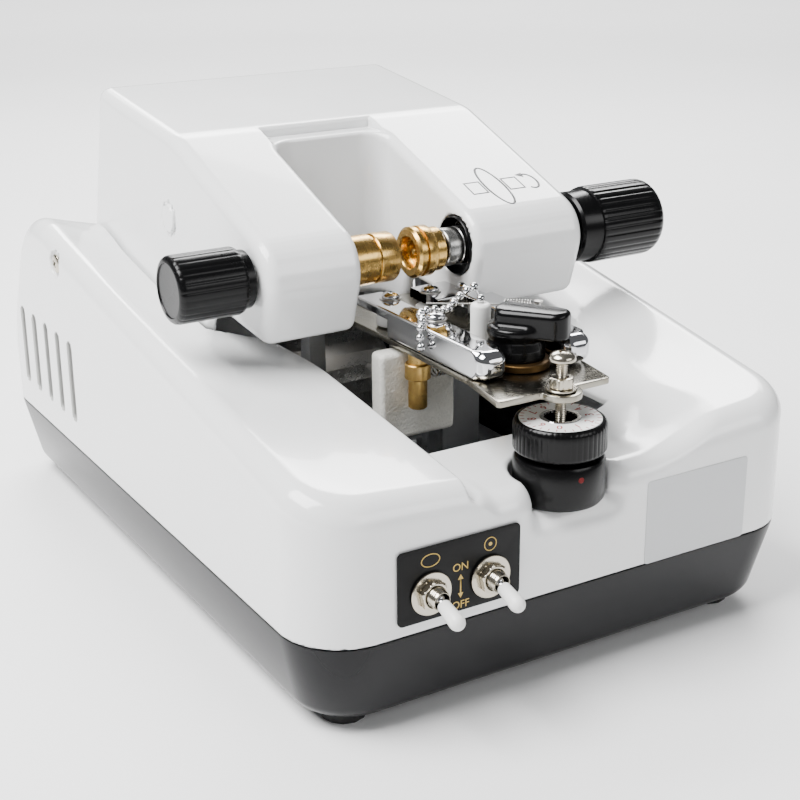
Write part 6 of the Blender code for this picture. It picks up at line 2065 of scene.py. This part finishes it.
@dataclass
class Arms:
    """Two chromed guide arms with their posts, rollers, screws, springs and bead chain."""

    width: float = 0.01
    z: tuple = (0.0907, 0.0997)
    y: tuple = (-0.1085, -0.033)
    x: tuple = (-0.0137, 0.0172)
    tongue: float = 0.02
    tongue_thick: float = 0.0034
    side_x: float = 0.0197
    nose: float = 0.004
    pivot_y: float = -0.064
    post_radius: float = 0.0031
    post_low: float = 0.069
    collar_radius: float = 0.0042
    collar_z: tuple = (0.079, 0.0842)
    roller_x: tuple = (-0.0108, 0.0044)
    roller_y: float = -0.0425
    roller_radius: float = 0.0048
    roller_height: float = 0.0042
    screws: tuple = ((-0.0107, -0.07), (0.0172, -0.045))
    stud: tuple = (0.019, -0.0835, 0.103)
    hook: tuple = (-0.0107, -0.062, 0.103)
    stud_radius: float = 0.0009
    bead: float = 0.0014
    route: tuple = (
        (-0.0026, -0.0754, 0.0078), (-0.0046, -0.0733, 0.0052), (-0.0056, -0.0716, 0.0028),
        (-0.006, -0.0696, 0.0006), (-0.0064, -0.067, 0), (-0.0086, -0.0651, 0),
        (-0.0122, -0.0651, 0), (-0.015, -0.0675, 0), (-0.0163, -0.071, 0), (-0.018, -0.0737, 0),
        (-0.0197, -0.0756, -0.0012), (-0.0206, -0.0767, -0.0042), (-0.0207, -0.0772, -0.0072))
    peg_route: tuple = (
        (0.0005, -0.0785, 0.1068), (0.0001, -0.0781, 0.109), (-0.001, -0.077, 0.1106))

    def bar(self, x: float, right: bool) -> Thing:
        """Return one arm's bar with its ball-like nose and thin rear tongue.

        Args:
            x: its middle.
            right: whether it is the right one, whose tongue reaches to the left.

        Returns:
            The bar.
        """
        half, (low, high), (front, back) = self.width / 2, self.z, self.y
        root, thin = back - self.tongue, self.tongue_thick

        def field(px: Array, py: Array, pz: Array) -> Array:
            """Return the distance from the bar.

            Args:
                px, py, pz: places.

            Returns:
                The distances.
            """
            side = np.abs(px - x) - half
            top = np.abs(pz - (low + high) / 2) - (high - low) / 2
            round_nose = 1 - ease(py, front + 0.003, front + 0.0065)
            soft = 0.0006 + (self.nose - 0.0006) * round_nose
            form = round_common(side, top, np.minimum(soft, 0.0032))
            form = round_common(form, front - py, self.nose)
            form = round_common(form, py - back, 0.001)
            form = round_cut(form, np.maximum(root - py, pz - high + thin), 0.0008)
            if right:
                form = round_cut(form, np.maximum(self.side_x - px, root - py), 0.0008)
                plate = box_distance(px, py, (0.006, 0.0088), (0.0066, back - 0.01), 0.001)
                plate = round_common(plate, np.abs(pz - high + thin / 2) - thin / 2, 0.0004)
                form = np.minimum(form, plate)
            return form

        reach = 0.0145 if right else half
        xs = ticks(x - reach - 0.001, x + half + 0.001, 0.0011,
                   (x - reach - 0.002, x - reach + 0.002, 0.0004),
                   (x - half - 0.0006, x - half + 0.0016, 0.0004),
                   (x + half - 0.0036, x + half + 0.002, 0.0004))
        ys = ticks(front - 0.001, back + 0.001, 0.0022, (front - 0.002, front + 0.007, 0.0004),
                   (root - 0.003, root + 0.003, 0.0005), (back - 0.0024, back + 0.002, 0.0005))
        zs = ticks(low - 0.001, high + 0.001, 0.001, (low - 0.002, low + 0.0016, 0.0004),
                   (high - 0.0046, high + 0.002, 0.0004))
        return skin("bar", field, xs, ys, zs)

    def arm(self, right: bool) -> None:
        """Make one arm with its screws, post and roller.

        Args:
            right: whether it is the right one.
        """
        side = "right" if right else "left"
        body, x, (low, high) = side + "_arm", self.x[right], self.z
        roller = (self.roller_x[right], self.roller_y)
        bar = paint(self.bar(x, right), CHROME)
        fit(bar, body, "chrome", body)
        bar.name = "guide_bar_" + side
        crown = paint(screw_head("crown", 0.003, 0.002, 0.0, 0.75), CHROME)
        places = [(*self.screws[right], high + 0.0004), (*roller, high + 0.0004)]
        heads = copies("heads", crown, places, seed=3 + right, spin=1.5)
        ring = [(0.0013, 0), (0.0013, 0.0004), (0.0036, 0.0004), (0.0037, 0.0003), (0.0037, 0.0001),
                (0.0036, 0)]
        washers = copies("washers", paint(lathe("washer", ring, 36), STEEL),
                         [(a, b, high + 0.00002) for a, b, _ in places], seed=1)
        pin = lathe("pin", [(0, low + 0.0003), (0.0012, low + 0.0003), (0.0012, high), (0, high)],
                    24, (*roller, 0))
        parts = [heads, washers, paint(pin, STEEL)]
        if right:
            *place, top = self.stud
            slim, wide = self.stud_radius, self.stud_radius * 1.6
            stud = lathe("stud", [(0, high - 0.0003), (slim, high - 0.0003), (slim, top + 0.0008),
                                  (wide, top + 0.001), (wide, top + 0.0015), (0, top + 0.0016)], 24,
                         (*place, 0))
            parts.append(paint(stud, STEEL))
        fit(merged(side + "_arm_screws", parts), body, "chrome")
        foot, top = self.post_low, low - 0.0002
        (first, last), radius, collar = self.collar_z, self.post_radius, self.collar_radius
        profile = [(0, foot), (radius - 0.0004, foot), (radius, foot + 0.0004), (radius, first),
                   (collar - 0.0003, first), (collar, first + 0.0003), (collar, last - 0.0003),
                   (collar - 0.0003, last), (radius, last), (radius, top), (0, top)]
        fit(lathe("post_" + side, profile, 48, (x, self.pivot_y, 0)), body, "brass",
            side + "_pivot_post", finish=PLAIN_BRASS)
        foot, radius = low + 0.0003, self.roller_radius
        top = foot + self.roller_height
        profile = [(0.0015, foot), (radius - 0.0003, foot), (radius, foot + 0.0003),
                   (radius, top - 0.0003), (radius - 0.0003, top), (0.0015, top)]
        fit(lathe("guide_" + side + "_roller", profile, 48, (*roller, 0)), side + "_roller",
            "nylon", side + "_roller", finish=NYLON)

    def coil(self, name: str, start: Point, end: Point, radius: float, thick: float, turns: int,
             lead: float) -> Thing:
        """Return a round spring between two points, with straight hooked ends.

        Args:
            name: the object's name.
            start: its first end.
            end: its last end.
            radius: the radius of its turns.
            thick: the wire's radius.
            turns: the number of turns.
            lead: the length of each straight end.

        Returns:
            The spring.
        """
        first, way = Vector(start), Vector(end) - Vector(start)
        length, steps = way.length, turns * 18
        turn = Vector((1, 0, 0)).rotation_difference(way.normalized()).to_matrix()
        points = [(0, 0, 0), (lead * 0.5, 0, radius * 0.2)]
        points += [(lead + (length - 2 * lead) * step / steps, radius * sin(2 * pi * step / 18),
                    radius * cos(2 * pi * step / 18)) for step in range(steps + 1)]
        points += [(length - lead * 0.5, 0, radius * 0.2), (length, 0, 0)]
        return wire(name, [turn @ Vector(point) + first for point in points], thick, 3)

    def springs(self) -> None:
        """Closing spring between the arms, with its straight wire, and return spring."""
        stud, hook = Vector(self.stud), Vector(self.hook)
        along = (hook - stud).normalized()
        middle = stud + along * 0.0115
        coil = self.coil("coil", stud + along * 0.0011, middle, 0.0016, 0.00024, 9, 0.0012)
        line = wire("line", [middle, stud.lerp(hook, 0.7), hook - along * 0.0012], 0.00024, 3)
        thing = merged("spring_closing", [paint(coil, STEEL), paint(line, STEEL)])
        fit(thing, "right_arm", "steel", "closing_spring")
        x, y, z = self.x[0] + self.collar_radius + 0.0003, self.pivot_y, sum(self.collar_z) / 2
        coil = self.coil("spring_return", (x, y, z), (x + 0.0088, y, z), 0.003, 0.0003, 5, 0.0008)
        fit(coil, "table", "chrome", "return_spring", finish=CHROME)

    def chain(self) -> None:
        """Bead chain from the peg, round the left arm's screw, with a hanging end."""
        rest = self.z[1] + 0.0003 + self.bead
        route = [Vector((x, y, z + (rest if index > 2 else 0.1014)))
                 for index, (x, y, z) in enumerate(self.route)]
        curve = []
        for i, (a, b) in enumerate(zip(route, route[1:])):
            before, after = route[max(i - 1, 0)], route[min(i + 2, len(route) - 1)]
            for t in (0.0, 0.25, 0.5, 0.75):
                t2, t3 = t ** 2, t ** 3
                curve.append(a * (2 * t3 - 3 * t2 + 1) + b * (3 * t2 - 2 * t3) + (b - before) * 0.5
                             * (t3 - 2 * t2 + t) + (after - a) * 0.5 * (t3 - t2))
        curve.append(route[-1])
        fit(bead_string("string_of_beads", curve, self.bead, CHROME), "left_arm", "chrome",
            "bead_chain")
        fit(bead_string("beads_on_peg", self.peg_route, self.bead, CHROME), "peg", "chrome")

    def build(self) -> None:
        """Make both arms and what joins them."""
        self.arm(False)
        self.arm(True)
        self.springs()
        self.chain()


@dataclass
class Wing:
    """Black wing knob on its brass cam."""

    place: tuple = (0.00175, -0.096)
    short: float = 0.01
    long: float = 0.0117
    cam_z: tuple = (0.0907, 0.0929)
    stud_z: tuple = (0.0854, 0.091)
    stud_radius: float = 0.0025
    hub_radius: float = 0.0091
    waist: float = 0.009
    hub_z: tuple = (0.0922, 0.1033)
    paddle_z: tuple = (0.1003, 0.109)
    length: float = 0.017
    root: float = 0.0062
    tip: float = 0.0048
    angle: float = radians(-57.0)

    def field(self, x: Array, y: Array, z: Array) -> Array:
        """Return the distance from the knob.

        Args:
            x, y, z: places.

        Returns:
            The distances.
        """
        turn, (low, high) = (cos(self.angle), sin(self.angle)), self.paddle_z
        dx, dy = x - self.place[0], y - self.place[1]
        along = dx * turn[0] + dy * turn[1]
        across = np.abs(dy * turn[0] - dx * turn[1])
        share = np.clip((along + self.root) / (self.length + self.root), 0, 1)
        half = self.root + (self.tip - self.root) * share
        ends = np.maximum(-along - self.root, along - self.length)
        plan = round_common(across - half, ends, 0.0042)
        crown = high - 0.0009 * (across / 0.006) ** 2
        paddle = round_common(round_common(plan, z - crown, 0.0016), low - z, 0.0007)
        waist = np.interp(z, (self.hub_z[0], 0.0962, 0.099, 0.101),
                          (self.waist, self.waist, self.hub_radius - 0.0006, self.hub_radius))
        tall = np.abs(z - sum(self.hub_z) / 2) - (self.hub_z[1] - self.hub_z[0]) / 2
        hub = round_common(np.hypot(dx, dy) - waist, tall, 0.0012)
        return round_join(paddle, hub, 0.0018)

    def build(self) -> None:
        """Make the cam and the knob."""
        low, high = self.cam_z
        cam = loft("cam", [oval(self.short - inset, self.long - inset, 72, (0, 0, height))
                           for inset, height in ((0.0003, low), (0, low + 0.0003),
                                                 (0, high - 0.0003), (0.0003, high))])
        foot, top = self.stud_z
        stud = lathe(
            "stud", [(0, foot), (self.stud_radius, foot), (self.stud_radius, top), (0, top)], 32)
        cam = move(merged("cam_plate", [cam, stud]), at(*self.place, 0))
        fit(cam, "wing_knob", "brass", "wing_cam", finish=CAM_BRASS)
        x, y = self.place
        spans = [(x - 0.01, x + 0.0175), (y - 0.0215, y + 0.0105),
                 (self.hub_z[0] - 0.001, self.paddle_z[1] + 0.0012)]
        grid = [np.arange(start, end, 0.0005) for start, end in spans]
        thing = skin("wing_grip", self.field, *grid)
        fit(thing, "wing_knob", "black", "wing_knob", finish=BLACK)


@dataclass
class Switches:
    """Two toggle switches on a printed plate in the front wall."""

    front: float = -0.13325
    place_x: tuple = (-0.0529, -0.0329)
    z: float = 0.0436
    panel: tuple = (0.041, 0.0227, 0.0006)
    centre: tuple = (-0.043, 0.0466)
    hole: float = 0.0033
    bushing: float = 0.0062
    mouth: float = 0.0023
    washer: float = 0.0066
    nut: float = 0.008
    length: float = 0.0123
    tip: float = 0.0026
    root: float = 0.0012
    ball: float = 0.0018
    sunk: float = 0.002
    rest: float = radians(18.0)
    gap: float = 0.0003

    def facing(self, x: float, y: float) -> Matrix:
        """Return the turn and move that bring an upright piece to face the front."""
        return at(x, y, self.z) @ Matrix.Rotation(pi / 2, 4, "X")

    def plate(self) -> None:
        """Black plate with generic prints over the switches."""
        (lens, wheel), (width, height, thick) = self.place_x, self.panel
        outline = box_outline(width / 2, height / 2, 0.0016, 8, self.centre)
        holes = [hole((place, self.z), self.hole) for place in self.place_x]
        back = self.front - self.gap
        plate = slab("label_plate", outline, back - thick, back, Axis.Y, 0.00012, holes)
        fit(plate, "base", "label", "switch_panel", finish=LABEL)
        middle = (lens + wheel) / 2
        parts = [move(printed("ON", 0.0034), at(middle, 0.0056, 0)),
                 move(printed("OFF", 0.0034), at(middle, -0.0062, 0))]
        for side in (-1, 1):
            arrow = [(middle + a, side * b - 0.0003)
                     for a, b in ((0, 0.0037), (0.0009, 0.0021), (0.0002, 0.0021), (0.0002, 0),
                                  (-0.0002, 0), (-0.0002, 0.0021), (-0.0009, 0.0021))]
            parts.append(slab("arrow", arrow[::-side], -0.00002, 0.00002))
        for name, x, half_x, half_y in (
                ("oval", lens, 0.003, 0.0019), ("ring", wheel, 0.002, 0.002)):
            parts.append(
                wire(name, oval(half_x, half_y, 28, (x, 0.0103, 0)), 0.00016, 1, closed=True))
        parts.append(slab("hub", arc((wheel, 0.0103), 0.0006, 0, 330, 11), -0.00002, 0.00002))
        prints = merged("label_prints", parts)
        for matrix in (Matrix.Diagonal((1, 1, 0.2, 1)), at(0, -0.0002, 0),
                       self.facing(0, back - thick - 0.00004)):
            move(prints, matrix)
        fit(prints, "base", "label", finish=GOLD_PRINT)

    def toggle(self, name: str, x: float) -> None:
        """Make one switch: threaded bushing, washer, hexagon nut and sleeved lever.

        Args:
            name: the switch's name.
            x: its place across.
        """
        face = self.front - self.gap - self.panel[2]
        outer, length, mouth = self.hole - self.gap, self.bushing, self.mouth
        thread = threaded("thread", outer, 0.00075, -0.0205, length - 0.0005, steps=32)
        thread = cut(thread, lathe("bore", [(0, -0.004), (mouth, -0.004), (mouth, length + 0.001),
                                            (0, length + 0.001)], 32))
        lip = lathe("lip", [(mouth, -0.003), (mouth, length - 0.0003), (mouth + 0.0002, length),
                            (outer - 0.0004, length), (outer - 0.0002, length - 0.0005),
                            (outer - 0.0004, length - 0.0008), (outer - 0.0004, -0.003)], 48)
        body = block("body", (-0.00625, -0.00575, -0.017), (0.00625, 0.00575, -0.004))
        dark = lathe("dark", [(0, -0.0005), (mouth - 0.00005, -0.0005), (mouth - 0.00005, 0.001),
                              (0.0016, 0.0012), (0, 0.0012)], 32)
        parts = [paint(thread, NICKEL), paint(lip, NICKEL), paint(body, BLACK), paint(dark, RUBBER)]
        thing = move(merged(name + "_toggle_body", parts), self.facing(x, face))
        fit(smooth(thing, 0.6), "base", "chrome", name + "_switch_body")
        low, wide = self.gap, self.washer
        washer = lathe(
            "washer", [(self.hole, low), (self.hole, low + 0.0006), (wide - 0.0002, low + 0.0006),
                       (wide, low + 0.0004), (wide, low)], 48)
        nut = hexagon("nut", self.nut, self.hole, low + 0.0007, low + 0.0027, 0.2)
        thing = move(merged(name + "_toggle_nut", [washer, nut]), self.facing(x, face))
        fit(smooth(thing, 0.5), "base", "chrome", name + "_switch_nut", finish=NICKEL)
        tip, root, ball, sleeve = self.tip, self.root, self.ball, self.sunk + 0.0004
        profile = [(0, -ball), *[(ball * cos(a), ball * sin(a)) for a in np.linspace(-1.2, 0.7, 8)],
                   (root, ball * 0.75), (root, sleeve), (root * 1.45, sleeve),
                   (root * 1.65, sleeve + 0.0004), (tip * 0.9, self.length - tip * 1.3)]
        profile += [(tip * 0.92 * cos(a), self.length - tip + tip * sin(a))
                    for a in np.linspace(0, 1.5, 9)]
        lever = lathe(name + "_toggle", [*profile, (0, self.length)], 40)
        pivot = Vector((x, face - length + self.sunk, self.z))
        move(lever, at(*pivot) @ Matrix.Rotation(pi / 2 + self.rest, 4, "X"))
        paint(lever, NYLON, CHROME)
        for part in lever.data.polygons:
            part.material_index = int((Vector(part.center) - pivot).length < sleeve + 0.0001)
        fit(smooth(lever, 0.8), name + "_lever", "nylon", name + "_lever")

    def build(self) -> None:
        """Make the plate and both switches."""
        self.plate()
        for name, x in zip(("lens", "wheel"), self.place_x):
            self.toggle(name, x)


@dataclass
class Sockets:
    """Power inlet and fuse holder in the leaning rear wall."""

    casing: Casing
    inlet: tuple = (-0.066, 0.06)
    half: tuple = (0.014, 0.01)
    deep: float = 0.02
    flange: float = 0.0022
    rim: float = 0.0025
    fuse_x: float = -0.015
    fuse_radius: float = 0.007
    fuse_cap: float = 0.007

    def depth(self, z: float) -> float:
        """Return how far back the casing's rear wall is.

        Args:
            z: the height.

        Returns:
            The place along the depth.
        """
        places = np.linspace(self.casing.shoulder, self.casing.depth / 2, 2000)
        rims = np.array([self.casing.straight_rim(place) for place in places])
        return float(places[np.argmax(rims <= z)])

    def lean(self, x: float) -> Matrix:
        """Return the move that sets a piece facing +Y on the leaning wall.

        Args:
            x: its place across.

        Returns:
            The move.
        """
        height, reach = self.inlet[1], self.deep / 2
        angle = atan2(self.depth(height - reach) - self.depth(height + reach), 2 * reach)
        return at(x, self.depth(height), height) @ Matrix.Rotation(angle, 4, "X")

    def build(self) -> None:
        """Make both sockets."""
        (x, z), back, rim = self.half, -self.deep, self.rim
        outer = box_outline(x, z, 0.0005, 4)
        inner = rounded(
            [(place, 0.0008) for place in ((-x + 0.003, z - 0.003), (-x + 0.003, -z + 0.006),
                                           (-x + 0.006, -z + 0.003), (x - 0.006, -z + 0.003),
                                           (x - 0.003, -z + 0.006), (x - 0.003, z - 0.003))], 4)
        flange = box_outline(x + rim, z + rim, 0.002)
        parts = [slab("tube", outer, back + 0.003, 0.0006, Axis.Y, 0, [inner]),
                 slab("back", outer, back, back + 0.003, Axis.Y, 0),
                 slab("flange", flange, 0.0003, self.flange, Axis.Y, 0.0004, [inner])]
        parts = [paint(part, BLACK) for part in parts]
        for x, z in ((-0.007, -0.0015), (0.0, 0.0025), (0.007, -0.0015)):
            pin = block("pin", (x - 0.001, back + 0.002, z - 0.002), (x + 0.001, -0.004, z + 0.002),
                        0.0004)
            parts.append(paint(pin, CHROME))
        thing = move(merged("inlet_socket", parts), self.lean(self.inlet[0]))
        fit(thing, "base", "black", "power_inlet")
        radius, cap = self.fuse_radius, self.fuse_cap
        profile = [(0, back), (radius * 0.7, back), (radius * 0.7, 0.0003), (radius, 0.0003),
                   (radius, 0.0012), (radius * 0.94, 0.0018, 0.0004),
                   (radius * 0.86, cap - 0.0006, 0.0004), (radius * 0.8, cap), (0, cap)]
        slot = block("slot", (-radius * 0.6, cap - 0.0012, -0.0006),
                     (radius * 0.6, cap + 0.001, 0.0006), 0)
        fuse = cut(lathe("fuse_cap", profile, 96, axis=Axis.Y, flutes=16), slot)
        move(fuse, self.lean(self.fuse_x))
        fit(smooth(fuse, 0.5), "base", "black", "fuse_holder", finish=BLACK)


@dataclass
class Studio:
    """Pale floor, soft lights and the photograph's camera."""

    eye: tuple = (-0.25588, -0.44364, 0.23885)
    azimuth: float = radians(-30.87)
    elevation: float = radians(20.17)
    roll: float = radians(-0.46)
    lens: float = 67.71
    half: float = 3.0

    def camera(self) -> None:
        """Set the camera at the photograph's angle."""
        data = bpy.data.cameras.new("camera")
        data.lens, data.sensor_width, data.clip_start = self.lens, 36.0, 0.01
        level = cos(self.elevation)
        forward = Vector(
            (-sin(self.azimuth) * level, cos(self.azimuth) * level, -sin(self.elevation)))
        right = forward.cross(Vector((0, 0, 1))).normalized()
        up = right.cross(forward)
        across = right * cos(self.roll) + up * sin(self.roll)
        upward = up * cos(self.roll) - right * sin(self.roll)
        turn = Matrix((across, upward, -forward)).transposed().to_4x4()
        thing = link("camera", data)
        thing.matrix_world = at(*self.eye) @ turn
        bpy.context.scene.camera = thing

    def lamp(self, name: str, place: Point, target: Point, size: Point, power: float) -> None:
        """Add a soft rectangular light that faces a point.

        Args:
            name: its name.
            place: where it hangs.
            target: the point that it faces.
            size: its width and height.
            power: its power in watts.
        """
        data = bpy.data.lights.new(name, "AREA")
        data.shape, data.energy = "RECTANGLE", power
        data.size, data.size_y = size
        thing = link(name, data)
        way = Vector(target) - Vector(place)
        thing.rotation_euler = way.to_track_quat("-Z", "Y").to_euler()
        thing.location = place

    def sky(self) -> None:
        """Set a white sky that lights the piece only dimly."""
        world = bpy.data.worlds.new("sky")
        world.use_nodes = True
        tree = world.node_tree
        paper, dim = tree.nodes["Background"], tree.nodes.new("ShaderNodeBackground")
        for node, colour, strength in ((paper, (1, 1, 1, 1), 1.0), (dim, (0.95, 0.97, 1, 1), 0.17)):
            node.inputs["Color"].default_value = colour
            node.inputs["Strength"].default_value = strength
        path, mix = tree.nodes.new("ShaderNodeLightPath"), tree.nodes.new("ShaderNodeMixShader")
        for source, target in (
                (path.outputs["Is Camera Ray"], mix.inputs["Fac"]), (dim.outputs[0], mix.inputs[1]),
                (paper.outputs[0], mix.inputs[2]),
                (mix.outputs[0], tree.nodes["World Output"].inputs["Surface"])):
            tree.links.new(source, target)
        bpy.context.scene.world = world

    def build(self) -> None:
        """Set the floor, the lights and the sky."""
        self.camera()
        shade = Shade("floor_paper")
        cloud = shade.noise(shade.place(), 6.0, 3.0)
        shade.set(Base_Color=shade.mix(cloud, (0.92, 0.92, 0.92), (0.95, 0.95, 0.95)),
                  Roughness=(cloud - 0.5) * 0.1 + 0.6)
        half = self.half
        floor = from_parts(
            "floor", [(-half, -half, 0), (half, -half, 0), (half, half, 0), (-half, half, 0)],
            [(0, 1, 2, 3)])
        floor.data.materials.append(shade.material)
        self.lamp("key", (-0.6, 0.02, 1.0), (0, 0, 0.06), (0.7, 0.7), 40.0)
        self.lamp("fill", (0.45, -1.0, 0.6), (0, 0, 0.06), (0.8, 0.4), 4.5)
        self.lamp("rim", (0.45, 0.75, 0.8), (0, 0, 0.08), (0.9, 0.4), 16.0)
        self.lamp("backdrop", (0.9, 1.6, 1.5), (1.3, 2.2, 0), (2.4, 1.2), 90.0)
        self.sky()


def main() -> None:
    """Build every sub-assembly over the frame."""
    logging.basicConfig(level=logging.INFO, format="%(name)s: %(message)s")
    casing = Casing()
    for assembly in (casing, Tray(), Head(), Spindles(), Wheel(), Table(), Arms(), Wing(), Dial(),
                     Switches(), Sockets(casing), Studio()):
        assembly.build()


if __name__ == "__main__":
    main()
